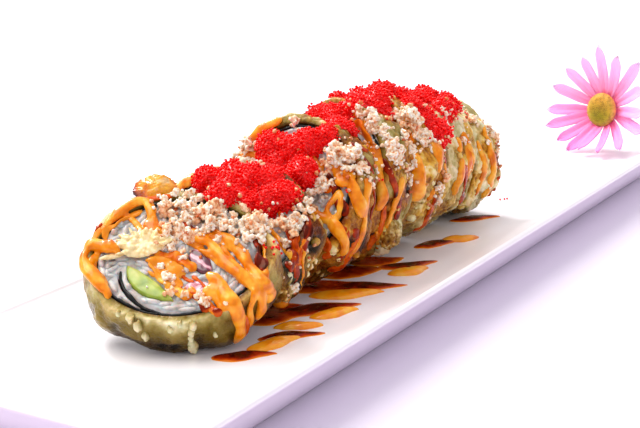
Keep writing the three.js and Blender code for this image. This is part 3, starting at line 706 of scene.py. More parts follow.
# %% Beads of batter
BEADS = (8, 30, 34, 34, 34, 34, 34)
PALE_LUMPS = [
    (0, -11.2, -22.3, 13.4, 1.5), (0, -9.1, -23.7, 11.5, 1.5), (0, -7.3, -24.2, 7.7, 1.4), (0, -14.8, -20.3, 12.6, 1),
    (0, 0, -25, 11.9, 1.1), (0, 2.8, -24, 12.8, 1.1), (0, 6.2, -24.2, 12.6, 1.4), (0, 5.6, -24.7, 10.4, 1.3),
    (0, 5.2, -24.8, 8, 1.2), (0, 5.2, -24.7, 5.6, 1.4), (0, 5.5, -24.5, 3.6, 1.9), (0, 11.8, -22.4, 6.6, 1.2),
    (0, -24, -10, 9, 1.1), (0, -22.6, -12.4, 6, 1.3),
    (1, 17.8, -17.4, 10.3, 1.7), (1, 20.2, -14.4, 11.6, 1.3), (1, 24.2, -6.4, 8.5, 0.9), (1, 24.2, -6, 3.5, 1),
    (1, 23.4, -8.4, 2.7, 0.9), (1, 24.8, -3.2, 1.8, 0.9), (1, 23.9, -7.4, 6, 0.8),
    (2, 14.9, -17.8, 14, 1.6), (2, 18.5, -16.6, 14, 1.4), (2, 18.9, -17.2, 9.4, 1.4),
    (3, 17.9, -18.2, 2.6, 2.9), (3, 15.4, -20.4, 1.6, 1.6),
    (4, 23.4, 4.9, 17.5, 1.6), (4, 23.7, 1.8, 14.8, 1.5), (4, 23.7, -2.1, 12.6, 1.5), (4, 23, -6.5, 10.4, 1.5),
    (4, 21.9, -10, 8.5, 1.4), (4, 19, -15, 14, 1.8),
]


def crusted(part, mesh, place, scale, tone, spread):
    """Lay a lump on a crust, pale where it faces away from the slice."""
    raw = points_of(mesh)
    outward = np.array([place[0], place[1], 0]) / math.hypot(place[0], place[1])
    share = (raw @ outward) / np.abs(raw).max()
    stretch = raw * scale + np.array(place)
    stretch[:, 2] = np.clip(stretch[:, 2], -0.3, part.thick + 0.8)
    move_points(mesh, settled(part, stretch))
    painted(mesh, "crag", np.clip(tone + spread * share, 0, 1))
    return mesh


def beads_on(part):
    """Small drips of batter that set on the crust while it fried."""
    rng = np.random.default_rng(70 + part.index)
    meshes = []
    for count in range(BEADS[part.index]):
        angle = rng.uniform(0, math.tau)
        depth = part.thick * rng.uniform(0.1, 0.95)
        relief = float(batter_relief(part, angle, depth))
        radius = rng.uniform(0.5, 1.7)
        x = math.cos(angle) * (part.wide / 2 + relief - 0.3 * radius)
        y = math.sin(angle) * (part.high / 2 + relief - 0.3 * radius)
        mesh = rough_ball((0, 0, 0), radius, 200 + count, 3, 0.2)
        longer = 1 + rng.uniform(0, 1.1)
        scale = (1, 1, longer if rng.random() < 0.5 else 1)
        meshes.append(crusted(part, mesh, (x, y, depth), scale, rng.uniform(0.4, 0.7), 0.25))
    for index, across, up, out, radius in PALE_LUMPS:
        if index == part.index:
            mesh = rough_ball((0, 0, 0), radius, 300 + across, 3, 0.3)
            tone = 0.66 if index == 0 else 0.76
            meshes.append(crusted(part, mesh, (across, up, out), (0.8, 1, 1.35), tone, 0.3))
    return meshes


# %% Scraps of batter
SCRAPS = [
    {"on": 1, "at": (17.5, -17, 8), "r": 4},
    {"on": 3, "at": (20.8, -14, 6), "r": 4.6},
    {"on": 4, "at": (20.5, -7, 16), "r": 4},
]


def rough_ball(centre, radius, seed, detail=4, lump=0.16):
    bm = bmesh.new()
    bmesh.ops.create_icosphere(bm, subdivisions=detail, radius=radius)
    mesh = mesh_of(bm, "scrap")
    raw = points_of(mesh)
    swell = 1 + lump * lumps(raw, radius * 0.7, 2, seed) + lump * 0.5 * lumps(raw, 1.2, 2, seed + 4)
    move_points(mesh, raw * swell[:, None] + np.array(centre))
    painted(mesh, "crag", np.clip(0.4 + (swell - 1) * 1.6, 0, 1))
    return mesh


def scraps_on(part):
    meshes = []
    for count, scrap in enumerate(scrap for scrap in SCRAPS if scrap["on"] == part.index):
        mesh = rough_ball((0, 0, 0), scrap["r"], 40 + count + part.index, 5, 0.34)
        move_points(mesh, settled(part, points_of(mesh) * (0.85, 1.1, 1.05) + scrap["at"]))
        crust = lumps(points_of(mesh), 1.5, 2, count)
        painted(mesh, "crag", np.clip(0.7 + 0.4 * crust, 0, 1))
        meshes.append(mesh)
    return meshes


# %% Brown glaze on the batter
GLAZED = (-0.2, 0.5, 0.5, 0.4, 0.26, -0.04, -0.06)


def glaze_over(part, mesh):
    """Paint where the dark sauce ran over a crust: in streaks, and most of all down its right side."""
    local = part.to_slice(points_of(mesh))
    streaks = 1.5 * lumps(local * (1, 0.45, 0.8), 7, 2, part.index * 3.1)
    right = np.clip((local[:, 0] / part.wide * 2 - 0.35) * 0.8, 0, 0.5)
    scrap = np.zeros(len(local))
    for kind in SCRAPS:
        if kind["on"] == part.index:
            scrap = np.maximum(scrap, np.clip(2 - np.linalg.norm(local - kind["at"], axis=1) / kind["r"], 0, 1))
    painted(mesh, "glaze", np.clip(GLAZED[part.index] + CRISP[part.index] * streaks + right - 0.75 * scrap, 0, 1))
    return mesh


# %% Batter finish
def fried_batter():
    soft = {
        "Subsurface Weight": 0.25,
        "Subsurface Scale": 0.002,
        "Specular IOR Level": 0.3,
        "Specular Tint": srgb(255, 216, 150),
        "Coat Weight": 0.16,
        "Coat Roughness": 0.08,
    }
    finish, tree, shader, place = new_finish("fried_batter", 0.42, soft)
    height = kept(tree, "crag")
    olive = ramp(tree, height, [
        (0.02, srgb(16, 12, 5)),
        (0.22, srgb(84, 68, 14)),
        (0.42, srgb(138, 120, 44)),
        (0.66, srgb(184, 169, 100)),
        (0.85, srgb(222, 210, 162)),
        (1.0, srgb(250, 240, 206)),
    ])
    amber = ramp(tree, height, [
        (0.05, srgb(30, 4, 1)),
        (0.22, srgb(92, 30, 1)),
        (0.42, srgb(148, 78, 3)),
        (0.62, srgb(194, 128, 14)),
        (0.82, srgb(230, 184, 72)),
        (1.0, srgb(252, 232, 176)),
    ])
    body = blended(tree, kept(tree, "glaze"), olive, amber)
    # Painted shade: below about 30 mm the batter is multiplied towards brown, strongest at the plate and not on high
    # pale crags.
    level = tree.nodes.new("ShaderNodeSeparateXYZ")
    tree.links.new(place, level.inputs["Vector"])
    dull = between(tree, height, 0.62, 0.86, 1, 0)
    low = times(tree, between(tree, level.outputs["Z"], 0.0155, 0.03, 1, 0), dull)
    shaded = blended(tree, low, body, blended(tree, 1.0, body, srgb(166, 136, 76), "MULTIPLY"))
    spots = ramp(tree, speckle(tree, place, 1.9, 4, 0.7), [
        (0.34, srgb(150, 110, 56)),
        (0.44, srgb(216, 192, 150)),
        (0.58, srgb(255, 255, 255)),
    ])
    oily = times(tree, between(tree, kept(tree, "glaze"), 0.1, 0.4, 0.05, 1), dull)
    soaked = blended(tree, oily, (1, 1, 1, 1), spots)
    tree.links.new(blended(tree, 1.0, shaded, soaked, "MULTIPLY"), shader.inputs["Base Color"])
    fine = speckle(tree, place, 0.7, 3, 0.7)
    tree.links.new(between(tree, fine, 0.3, 0.7, 0.2, 0.5), shader.inputs["Roughness"])
    first = raised(tree, shader, fine, 0.35, 0.7)
    raised(tree, shader, cells(tree, place, 1.1, "SMOOTH_F1"), 0.45, 0.6, first)
    return finish


# %% Fry the crusts
batter_finish = fried_batter()
crust_meshes = []
for part in slices:
    name = f"crust_{part.index + 1}"
    whole = glaze_over(part, joined([fry(part), *scraps_on(part), *beads_on(part)], "batter"))
    crust_meshes.append(piece(whole, f"batter_{part.index + 1}", batter_finish, [name]))

# %% [markdown]
# The sheet of seaweed winds once round the rice, and its inner end turns in towards the fillings. It is
# thin and shrinks unevenly when it gets wet, so it is made as a strip of small faces bent round the
# slice, pushed in and out a little, and only then given its thickness.

# %% Seaweed strip
TAIL_START = math.radians(-97)
TAIL_END = math.radians(-158)
TAIL_REACH = 0.655
SHEET_THICK = 0.55


def tail_point(part, share):
    angle = TAIL_START + (TAIL_END - TAIL_START) * share + math.radians(part.spin)
    inset = BATTER + GAP + NORI_THICK * 0.6
    reach = [(half - inset) * (1 - share) + half * TAIL_REACH * share for half in (part.wide / 2, part.high / 2)]
    return math.cos(angle) * reach[0], math.sin(angle) * reach[1]


def nori_point(part, along):
    """A point on the strip, for along from 0 at its outer end to 1 at its inner end."""
    ring_share = 0.88
    if along < ring_share:
        angle = TAIL_START + math.radians(part.spin) + math.tau * 0.995 * (1 - along / ring_share)
        inset = BATTER + GAP + NORI_THICK * 0.5
        return math.cos(angle) * (part.wide / 2 - inset), math.sin(angle) * (part.high / 2 - inset)
    return tail_point(part, (along - ring_share) / (1 - ring_share))


def wind_nori(part):
    bm = bmesh.new()
    rows = max(round(part.thick / 1.6), 6)
    bmesh.ops.create_grid(bm, x_segments=300, y_segments=rows, size=1)
    for corner in bm.verts:
        along = (corner.co.x + 1) / 2
        deep = (corner.co.y + 1) / 2 * part.thick
        x, y = nori_point(part, along)
        wave = noise.noise((x / 3.1, y / 3.1, deep / 14 + part.index)) * 0.3
        swell = 1 + (wave - 0.02) / math.hypot(x, y)
        ragged = noise.noise((x / 1.4, y / 1.4, 5 + part.index)) * 0.3 + noise.noise((x / 6, y / 6, part.index)) * 0.9
        edge = max(0, abs(corner.co.y) - 0.7) / 0.3 * math.copysign(1, corner.co.y)
        corner.co = (x * swell, y * swell, deep + (ragged - 0.3) * edge)
    bmesh.ops.recalc_face_normals(bm, faces=bm.faces)
    bmesh.ops.solidify(bm, geom=bm.faces[:], thickness=SHEET_THICK)
    bmesh.ops.recalc_face_normals(bm, faces=bm.faces)
    mesh = mesh_of(bm, "seaweed")
    move_points(mesh, settled(part, points_of(mesh)))
    return mesh


def seaweed():
    finish, tree, shader, place = new_finish("seaweed", 0.5, {"Specular IOR Level": 0.25, "Coat Weight": 0.12, "Coat Roughness": 0.15})
    tone = ramp(tree, speckle(tree, place, 3, 4, 0.6), [
        (0.3, srgb(8, 9, 9)),
        (0.55, srgb(20, 22, 22)),
        (0.8, srgb(48, 49, 54)),
    ])
    tree.links.new(tone, shader.inputs["Base Color"])
    raised(tree, shader, speckle(tree, place, 0.6, 3, 0.6), 0.15, 0.6)
    return finish


nori_finish = seaweed()
for part in slices:
    number = part.index + 1
    piece(wind_nori(part), f"seaweed_{number}", nori_finish, [f"nori_{number}"])

# %% [markdown]
# The fillings are strips that run through the roll: avocado, raw fish and crab stick, and in the first
# slice a piece of green. Each is a soft bar through smooth outlines, a little crowned at the cut, with
# the solid's own section. Avocado is buttery green, fish is dark red with pale fat, and crab stick is
# mottled white and pink.

# %% Outlines of the fillings
AVOCADO = {"from": (-0.53, -0.16), "to": (0.0, -0.66), "outer": 0.17, "inner": 0.05}
FISH = {"at": (0.24, -0.08), "long": 0.4, "wide": 0.2, "turned": -62}
CRAB = {"at": (0.27, -0.5), "long": 0.34, "wide": 0.22, "turned": -14}
GREEN = {"at": (-0.36, 0.46), "long": 0.2, "wide": 0.11, "turned": 55}


def crescent(kind, steps):
    start = Vector(kind["from"])
    end = Vector(kind["to"])
    along = end - start
    across = Vector((along.y, -along.x)).normalized()
    shares = np.linspace(0, 1, steps + 1)
    swell = np.sin(math.pi * shares) ** 0.7
    outer = [start + along * s + across * kind["outer"] * w for s, w in zip(shares, swell)]
    inner = [start + along * s - across * kind["inner"] * w for s, w in zip(shares, swell)]
    return [tuple(point) for point in outer + inner[-2:0:-1]]


def oval(kind, steps):
    turned = math.radians(kind["turned"])
    outline = []
    for step in range(steps):
        angle = step / steps * math.tau
        u = math.cos(angle) * kind["long"] / 2
        v = math.sin(angle) * kind["wide"] / 2
        outline.append((
            kind["at"][0] + u * math.cos(turned) - v * math.sin(turned),
            kind["at"][1] + u * math.sin(turned) + v * math.cos(turned),
        ))
    return outline


def filling_outline(part, kind):
    spin = math.radians(part.spin)
    fractions = crescent(kind, 16) if kind is AVOCADO else oval(kind, 32)
    return [
        (
            (u * math.cos(spin) - v * math.sin(spin)) * part.wide / 2,
            (u * math.sin(spin) + v * math.cos(spin)) * part.high / 2,
        )
        for u, v in fractions
    ]


# %% Bars of filling
CROWN = 0.3


def filling_bar(part, kind):
    bm = bmesh.new()
    outline = np.array(filling_outline(part, kind))
    middle = outline.mean(0)
    rings = []
    cap = [(0.12, 1), (0.35, 0.97), (0.6, 0.85), (0.82, 0.55), (0.95, 0.15)]
    stations = [(scale, -CROWN * lift) for scale, lift in cap]
    stations += [(1.0, part.thick * share) for share in np.linspace(0.03, 0.97, 9)]
    stations += [(scale, part.thick + CROWN * lift) for scale, lift in cap[::-1]]
    for scale, depth in stations:
        ring = middle + (outline - middle) * scale
        rings.append([(x, y, depth) for x, y in ring])
    loft(bm, rings)
    face_out(bm)
    mesh = mesh_of(bm, "filling")
    raw = points_of(mesh)
    sway = np.c_[lumps(raw, 4, 1, 2), lumps(raw, 4, 1, 8), lumps(raw, 2.2, 2, 5)] * (0.12, 0.12, 0.2)
    move_points(mesh, settled(part, raw + sway))
    return mesh


# %% Finishes of the fillings
def avocado_flesh():
    soft = {"Subsurface Weight": 0.3, "Subsurface Scale": 0.002, "Coat Weight": 0.3, "Coat Roughness": 0.15}
    finish, tree, shader, place = new_finish("avocado_flesh", 0.3, soft)
    tone = ramp(tree, speckle(tree, place, 5, 2, 0.5), [
        (0.3, srgb(118, 146, 28)),
        (0.5, srgb(160, 180, 54)),
        (0.72, srgb(200, 204, 104)),
    ])
    tree.links.new(tone, shader.inputs["Base Color"])
    raised(tree, shader, speckle(tree, place, 1.2, 2, 0.5), 0.12, 0.5)
    return finish


def raw_fish():
    soft = {"Subsurface Weight": 0.3, "Subsurface Scale": 0.002, "Coat Weight": 0.6, "Coat Roughness": 0.08}
    finish, tree, shader, place = new_finish("raw_fish", 0.22, soft)
    bands = tree.nodes.new("ShaderNodeTexWave")
    bands.inputs["Scale"].default_value = 120
    bands.inputs["Distortion"].default_value = 6
    bands.inputs["Detail"].default_value = 2
    tree.links.new(place, bands.inputs["Vector"])
    tone = ramp(tree, bands.outputs["Fac"], [
        (0.2, srgb(88, 22, 44)),
        (0.6, srgb(142, 52, 82)),
        (0.9, srgb(226, 176, 186)),
    ])
    tree.links.new(tone, shader.inputs["Base Color"])
    raised(tree, shader, bands.outputs["Fac"], 0.1, 0.4)
    return finish


def crab_stick():
    soft = {"Subsurface Weight": 0.35, "Subsurface Scale": 0.002, "Coat Weight": 0.3, "Coat Roughness": 0.12}
    finish, tree, shader, place = new_finish("crab_stick", 0.35, soft)
    tone = ramp(tree, speckle(tree, place, 2.2, 4, 0.6, 1.0), [
        (0.3, srgb(140, 34, 58)),
        (0.43, srgb(196, 96, 116)),
        (0.56, srgb(236, 196, 206)),
        (0.8, srgb(254, 248, 252)),
    ])
    tree.links.new(tone, shader.inputs["Base Color"])
    raised(tree, shader, speckle(tree, place, 0.8, 3, 0.6), 0.2, 0.6)
    return finish


# %% Lay the fillings
FILLINGS = {
    "avocado": (AVOCADO, avocado_flesh(), "avocado"),
    "fish": (FISH, raw_fish(), "fish"),
    "crab": (CRAB, crab_stick(), "crab"),
    "green": (GREEN, None, "avocado"),
}


def fillings_of(part):
    return [kind for kind in FILLINGS if kind != "green" or part.index == 0]


for part in slices:
    number = part.index + 1
    for kind in fillings_of(part):
        shape, finish, slot = FILLINGS[kind]
        finish = finish or FILLINGS["avocado"][1]
        piece(filling_bar(part, shape), f"{kind}_strip_{number}", finish, [f"{kind}_{number}"])

# %% [markdown]
# Cooked rice is sticky and packed: the grains lie across each other, and only the cut faces show them.
# The solid's disc, a little thinner, is the core. Grains of one curved shape are then thrown on both
# faces one by one: a place is taken only where it is clear of the fillings, the seaweed and the grains
# already there, and each grain turns until both of its ends lie on rice.

# %% Room for the grains
def room_in(points, polygon):
    """How far points lie outside a closed outline, and below zero inside it."""
    corners = np.array(polygon)
    after = np.roll(corners, -1, 0)
    edge = after - corners
    offset = points[:, None, :] - corners[None]
    share = np.clip((offset * edge).sum(2) / (edge ** 2).sum(1), 0, 1)
    far = np.linalg.norm(offset - share[:, :, None] * edge, axis=2).min(1)
    above = (corners[:, 1] > points[:, 1, None]) != (after[:, 1] > points[:, 1, None])
    slant = np.where(edge[:, 1] == 0, 1e-9, edge[:, 1])
    cross = corners[:, 0] + (points[:, 1, None] - corners[:, 1]) / slant * edge[:, 0]
    inside = (above & (points[:, 0, None] < cross)).sum(1) % 2 == 1
    return np.where(inside, -far, far)


def rice_room(part, points):
    """How far points on the cut face lie from everything that isn't rice."""
    inset = BATTER + GAP * 2 + NORI_THICK
    half = np.array((part.wide / 2 - inset, part.high / 2 - inset))
    room = (1 - np.hypot(*(points / half).T)) * half.min()
    tail = np.array([tail_point(part, share) for share in np.linspace(0, 1, 9)])
    tail_far = np.linalg.norm(points[:, None] - tail[None], axis=2).min(1) - 1.2
    room = np.minimum(room, tail_far)
    for kind in fillings_of(part):
        room = np.minimum(room, room_in(points, filling_outline(part, FILLINGS[kind][0])))
    return room


# %% One grain of rice
GRAIN_LONG = 5.8
GRAIN_WIDE = 2.5


def grain_shape():
    bm = bmesh.new()
    bmesh.ops.create_uvsphere(bm, u_segments=7, v_segments=6, radius=1)
    for corner in bm.verts:
        x, y, z = corner.co.z, corner.co.x, corner.co.y
        blunt = math.copysign(abs(x) ** 0.85, x)
        corner.co = (blunt * GRAIN_LONG / 2, y * GRAIN_WIDE / 2 - 0.35 * (1 - x * x), z * GRAIN_WIDE / 2.3)
    bmesh.ops.recalc_face_normals(bm, faces=bm.faces)
    return mesh_of(bm, "grain")


# %% Throw the grains
GRAIN_APART = 2.0
CORE_RECESS = 0.6


def throw_grains(part, front, draw):
    places = []
    taken = []
    spots = np.array([(draw() - 0.5, draw() - 0.5) for _ in range(2600)]) * (part.wide, part.high)
    spots = spots[rice_room(part, spots) > 0.5]
    for x, y in spots:
        if any((x - u) ** 2 + (y - v) ** 2 < GRAIN_APART ** 2 for u, v in taken):
            continue
        taken.append((x, y))
        tries = [draw() * math.pi for _ in range(7)]
        ends = np.array([
            (x + side * math.cos(a) * 2.3, y + side * math.sin(a) * 2.3) for a in tries for side in (1, -1)
        ])
        free = rice_room(part, ends).reshape(-1, 2).min(1)
        best = int(free.argmax())
        tilt = (draw() - 0.5) * 0.9 if free[best] > 0.2 else 1.25
        heading = tries[best]
        along = (math.cos(heading) * math.cos(tilt), math.sin(heading) * math.cos(tilt), math.sin(tilt))
        size = 0.86 + 0.24 * draw()
        sink = (0.3 + 0.55 * draw()) + abs(math.sin(tilt)) * 1.4
        depth = part.thick - sink if front else sink
        places.append(placed((x, y, depth), along, (draw() - 0.5, draw() - 0.5, 1), (size, size * 1.02, size)))
    return places


def rice_core(part):
    mesh = frame["nodes"][f"rice_{part.index + 1}"].data.copy()
    bm = bmesh.new()
    bm.from_mesh(mesh)
    bpy.data.meshes.remove(mesh)
    bm.transform(Matrix.Scale(1 / MM, 4))
    bmesh.ops.remove_doubles(bm, verts=bm.verts, dist=0.001)
    core = mesh_of(bm, "core")
    local = part.to_slice(points_of(core))
    local[:, 2] = CORE_RECESS + local[:, 2] * (part.thick - 2 * CORE_RECESS) / part.thick
    move_points(core, part.to_plate(local))
    return core


# %% Rice finish
def cooked_rice():
    soft = {
        "Subsurface Weight": 0.4,
        "Subsurface Scale": 0.003,
        "Specular IOR Level": 0.35,
        "Coat Weight": 0.08,
        "Coat Roughness": 0.15,
    }
    finish, tree, shader, place = new_finish("cooked_rice", 0.45, soft)
    tone = ramp(tree, speckle(tree, place, 4, 3, 0.6), [
        (0.28, srgb(178, 158, 142)),
        (0.5, srgb(208, 196, 192)),
        (0.72, srgb(236, 228, 224)),
    ])
    tree.links.new(tone, shader.inputs["Base Color"])
    raised(tree, shader, speckle(tree, place, 1.1, 2, 0.6), 0.06, 0.4)
    return finish


# %% Heap the rice
rice_finish = cooked_rice()
grain = grain_shape()
for part in slices:
    number = part.index + 1
    draw = seeded(500 + number)
    places = throw_grains(part, True, draw) + throw_grains(part, False, draw)
    grains = repeated(grain, places, "grains")
    move_points(grains, settled(part, points_of(grains)))
    print("slice", number, "shows", len(places), "grains")
    piece(joined([rice_core(part), grains], "rice"), f"rice_heap_{number}", rice_finish, [f"rice_{number}"])

# %% [markdown]
# Two scraps of batter came out of the fryer on the first slice: a pale crisp flake on its cut face and
# a browned, amber curl on its top edge. The flake is a fan of drips that set side by side, so it is
# made as many flattened drops that melt together. The curl is a thin blister that burst: a grid of
# small faces that takes the bend of the solid, frays at its edge, and is thickened last.

# %% Flake
FLAKE = {"across": -11, "up": 3, "long": 15.5, "wide": 11, "thick": 1.3, "turned": 20}
FAN_DRIPS = 34


def ball_shape(detail):
    bm = bmesh.new()
    bmesh.ops.create_icosphere(bm, subdivisions=detail, radius=1)
    return mesh_of(bm, "ball")


small_ball = ball_shape(2)


def pale_flake():
    part = slices[0]
    rng = np.random.default_rng(31)
    rise = part.thick + 0.35
    heart = (FLAKE["across"] + 1, FLAKE["up"] - 1.2, rise + 0.7)
    turned = math.radians(FLAKE["turned"])
    way = (math.cos(turned), math.sin(turned), 0)
    drops = [placed(heart, way, (0, 0, 1), (FLAKE["long"] * 0.4, 0.9, FLAKE["wide"] * 0.32))]
    tip = (FLAKE["across"] - 7.5, FLAKE["up"] - 4.2, rise + 0.5)
    drops.append(placed(tip, (1, 0.35, 0), (0, 0, 1), (4.5, 0.55, 1.1)))
    for count in range(FAN_DRIPS):
        angle = turned + math.radians(-25 + 230 * (count + rng.random()) / FAN_DRIPS)
        reach = 0.5 + 0.45 * rng.random()
        x = heart[0] + math.cos(angle) * FLAKE["long"] / 2 * reach
        y = heart[1] + math.sin(angle) * FLAKE["wide"] / 2 * reach + 0.5
        along = (math.cos(angle), math.sin(angle), 0.35 * rng.random())
        length = rng.uniform(1.2, 2.9)
        width = rng.uniform(0.45, 0.85)
        drops.append(placed((x, y, rise + 0.6 + 1.1 * rng.random()), along, (0, 0, 1), (length, width, width)))
    mesh = fused(repeated(small_ball, drops, "drips"), 0.3, 2)
    raw = points_of(mesh)
    crust = lumps(raw, 1.1, 2, 3)
    move_points(mesh, part.to_plate(raw + normals_of(mesh) * (crust * 0.22)[:, None]))
    # Points that stand out are paler and hollows darker, as painted light and shade.
    painted(mesh, "crag", np.clip(0.62 + stand_out(mesh, 8) * 0.9 + crust * 0.25, 0, 1))
    return mesh


# %% Curl
CURL = {"across": -9.6, "up": 24, "out": 12.5, "long": 12.2, "high": 8.6, "thick": 1.3}


def amber_curl():
    part = slices[0]
    bm = bmesh.new()
    bmesh.ops.create_grid(bm, x_segments=64, y_segments=44, size=1)
    for corner in bm.verts:
        share, tall = corner.co.x, corner.co.y
        round_x = share * math.sqrt(1 - 0.42 * tall * tall)
        round_y = tall * math.sqrt(1 - 0.42 * share * share)
        fray = 1 + 0.13 * noise.noise((share * 2.3, tall * 2.1, 4)) + 0.08 * noise.noise((share * 8, tall * 8, 9))
        bow = -math.cos(share * math.pi / 2) * 3.2 - 1.1 * math.cos(tall * math.pi / 2) + 0.6
        wrinkle = 0.55 * noise.noise((share * 2.6, tall * 2.6, 1)) + 0.16 * noise.noise((share * 9, tall * 9, 2))
        left_tip = 1 + 0.16 * max(0, -share) ** 3
        corner.co = (
            round_x * CURL["long"] / 2 * fray * left_tip,
            bow + CURL["thick"] / 2 + wrinkle,
            round_y * CURL["high"] / 2 * fray,
        )
    bmesh.ops.recalc_face_normals(bm, faces=bm.faces)
    bmesh.ops.solidify(bm, geom=bm.faces[:], thickness=0.7)
    bmesh.ops.recalc_face_normals(bm, faces=bm.faces)
    mesh = mesh_of(bm, "curl")
    raw = points_of(mesh)
    edge = np.hypot(raw[:, 0] / (CURL["long"] / 2), raw[:, 2] / (CURL["high"] / 2))
    left = np.clip(-raw[:, 0] / CURL["long"] - raw[:, 2] / CURL["high"] * 0.6, 0, 1)
    lace = np.clip(-raw[:, 2] / CURL["high"] * 2 - 0.55, 0, 1) * np.clip(raw[:, 0] / 2 + 1, 0, 1)
    tone = 0.8 + 0.35 * lumps(raw, 3.2, 2, 3) - 0.7 * left - 0.35 * np.clip(edge - 0.85, 0, 1) + 1.2 * lace
    painted(mesh, "crag", np.clip(tone, 0, 1))
    lean = Matrix.Translation((CURL["across"], CURL["up"] + CURL["high"] / 2 - 0.6, CURL["out"] - 2))
    mesh.transform(part.matrix @ lean @ Matrix.Rotation(-math.pi / 2 + 0.4, 4, "X"))
    return mesh


# %% Finish of the scraps
def pale_batter(name, stops, gloss, coat=0.3, stain=(255, 244, 228)):
    soft = {
        "Subsurface Weight": 0.2,
        "Subsurface Scale": 0.0015,
        "Subsurface Radius": (1.0, 0.65, 0.4),
        "Coat Weight": coat,
        "Coat Roughness": 0.1,
    }
    finish, tree, shader, place = new_finish(name, gloss, soft)
    colour = ramp(tree, kept(tree, "crag"), stops)
    shade = ramp(tree, speckle(tree, place, 1.6, 3, 0.6), [(0.35, srgb(236, 226, 210)), (0.6, srgb(255, 255, 255))])
    soaked = ramp(tree, speckle(tree, place, 7, 2, 0.6), [(0.36, srgb(*stain)), (0.5, srgb(255, 255, 255))])
    dry = blended(tree, 0.8, colour, shade, "MULTIPLY")
    tree.links.new(blended(tree, 1.0, dry, soaked, "MULTIPLY"), shader.inputs["Base Color"])
    raised(tree, shader, speckle(tree, place, 0.6, 3, 0.65), 0.22, 0.6)
    return finish


flake_finish = pale_batter("crisp_flake", [
    (0.1, srgb(196, 150, 60)),
    (0.45, srgb(236, 206, 134)),
    (0.75, srgb(250, 234, 184)),
    (1.0, srgb(255, 250, 226)),
], 0.4)
curl_finish = pale_batter("amber_batter", [
    (0.1, srgb(84, 20, 1)),
    (0.35, srgb(182, 66, 1)),
    (0.6, srgb(236, 138, 2)),
    (0.85, srgb(250, 186, 34)),
    (1.0, srgb(252, 226, 170)),
], 0.25, 0.4)
piece(pale_flake(), "flake_scrap", flake_finish, ["batter_flake"])
piece(amber_curl(), "curl_scrap", curl_finish, ["batter_curl"])

# %% [markdown]
# Fried crumbs are drips of batter that burst in hot oil: knots of small hollow balls, cream with a
# pinkish shade. Each knot is a core with many balls of different size round it. The knots of one heap
# melt into a single skin, which fine noise then roughens. How far each point stands out is kept for the
# finish: tips that stand out are pale and crevices darker, as painted light and shade, and the crevices
# also keep some brown oil.

# %% Knots of crumb
CRUMB_SIZE = 2.3
CRUMB_STEP = 3.9
CRUMB_HEAPS = [
    {"on": 0, "seed": 91, "line": [
        (-4, 15, 13.5), (2, 16, 13.5), (9, 12, 13.5), (16, 11, 13.5), (22, 12, 12), (23, 8, 13)]},
    {"on": 0, "seed": 92, "line": [(-2, 8, 13.5), (4, 6, 13.5)]},
    {"on": 1, "seed": 93, "line": [(21, 7, 13), (19, 3, 14), (20, 0, 13)]},
    {"on": 2, "seed": 94, "line": [(17, 14, 16), (13, 12, 16), (10, 5, 16), (8, -3, 16)]},
    {"on": 2, "seed": 95, "line": [(-18, 13, 16), (-17, 9, 16)]},
    {"on": 3, "seed": 96, "line": [(15, 18, 19), (19, 14, 17), (21, 10, 11), (22, 6, 5)]},
    {"on": 4, "seed": 97, "line": [(15, 18, 21), (19, 12, 17), (22, 4, 12)]},
]


def smooth_line(points, share):
    """A point on a soft curve through points, for a share of the way from 0 to 1."""
    last = len(points) - 1
    at = min(share * last, last - 1e-6)
    index = int(at)
    part = at - index
    near, far = Vector(points[index]), Vector(points[index + 1])
    before = Vector(points[index - 1]) if index > 0 else near * 2 - far
    after = Vector(points[index + 2]) if index + 2 <= last else far * 2 - near
    return 0.5 * (
        2 * near + (far - before) * part + (2 * before - 5 * near + 4 * far - after) * part ** 2
        + (3 * near - before - 3 * far + after) * part ** 3
    )


def line_length(points):
    marks = [smooth_line(points, step / 60) for step in range(61)]
    return sum((b - a).length for a, b in zip(marks, marks[1:]))


def knot(centre, radius, rng):
    """Matrices of the balls of one burst drip of batter."""
    balls = [placed(centre, (1, 0, 0), (0, 1, 0), [radius * 0.6] * 3)]
    for way in rng.normal(size=(int(rng.integers(9, 15)), 3)):
        size = radius * rng.uniform(0.2, 0.42)
        spot = Vector(centre) + Vector(way).normalized() * (radius - size * 0.6)
        balls.append(placed(spot, (1, 0, 0), (0, 1, 0), [size] * 3))
    return balls


def knotted(balls, seed):
    mesh = fused(repeated(small_ball, balls, "knots"), 0.33, 1)
    raw = points_of(mesh)
    grain = lumps(raw, 0.75, 2, seed)
    move_points(mesh, raw + normals_of(mesh) * (grain * 0.2)[:, None])
    # Points that stand out are paler and crevices darker: painted light and shade, with some brown oil in the crevices.
    painted(mesh, "crag", np.clip(0.56 + stand_out(mesh, 10) * 1.5 + grain * 0.3, 0, 1))
    return mesh


def crumb_heap(heap):
    part = slices[heap["on"]]
    rng = np.random.default_rng(heap["seed"])
    line = heap["line"]
    count = round(line_length(line) / CRUMB_STEP)
    balls = []
    for step in range(count + 1):
        point = part.matrix @ smooth_line(line, step / count)
        for _ in range(3):
            shift = Vector(rng.uniform((-2.2, -2.2, -1.1), (2.2, 2.2, 3.3)))
            balls += knot(point + shift, CRUMB_SIZE * rng.uniform(0.62, 1.2), rng)
    return knotted(balls, heap["seed"])


# %% Crumb finish
crumb_finish = pale_batter("fried_crumb", [
    (0.02, srgb(128, 40, 4)),
    (0.22, srgb(212, 108, 36)),
    (0.42, srgb(238, 184, 134)),
    (0.6, srgb(252, 232, 204)),
    (0.85, srgb(255, 253, 244)),
], 0.4, 0.2, (255, 214, 178))
crumb_things = [
    piece(crumb_heap(heap), f"crumbs_{count}", crumb_finish, [f"crunch_{count}"])
    for count, heap in enumerate(CRUMB_HEAPS, 1)
]

# %% [markdown]
# The roe is a heap of flying fish eggs, each under a millimetre, wet and clear red. The lumps of the
# solid melt into one uneven core, a little under the solid's skin. Eggs then take random places on it,
# wherever there is room between the eggs already there, and some more lie on top of those. Eggs that
# would lie inside the food are left out.

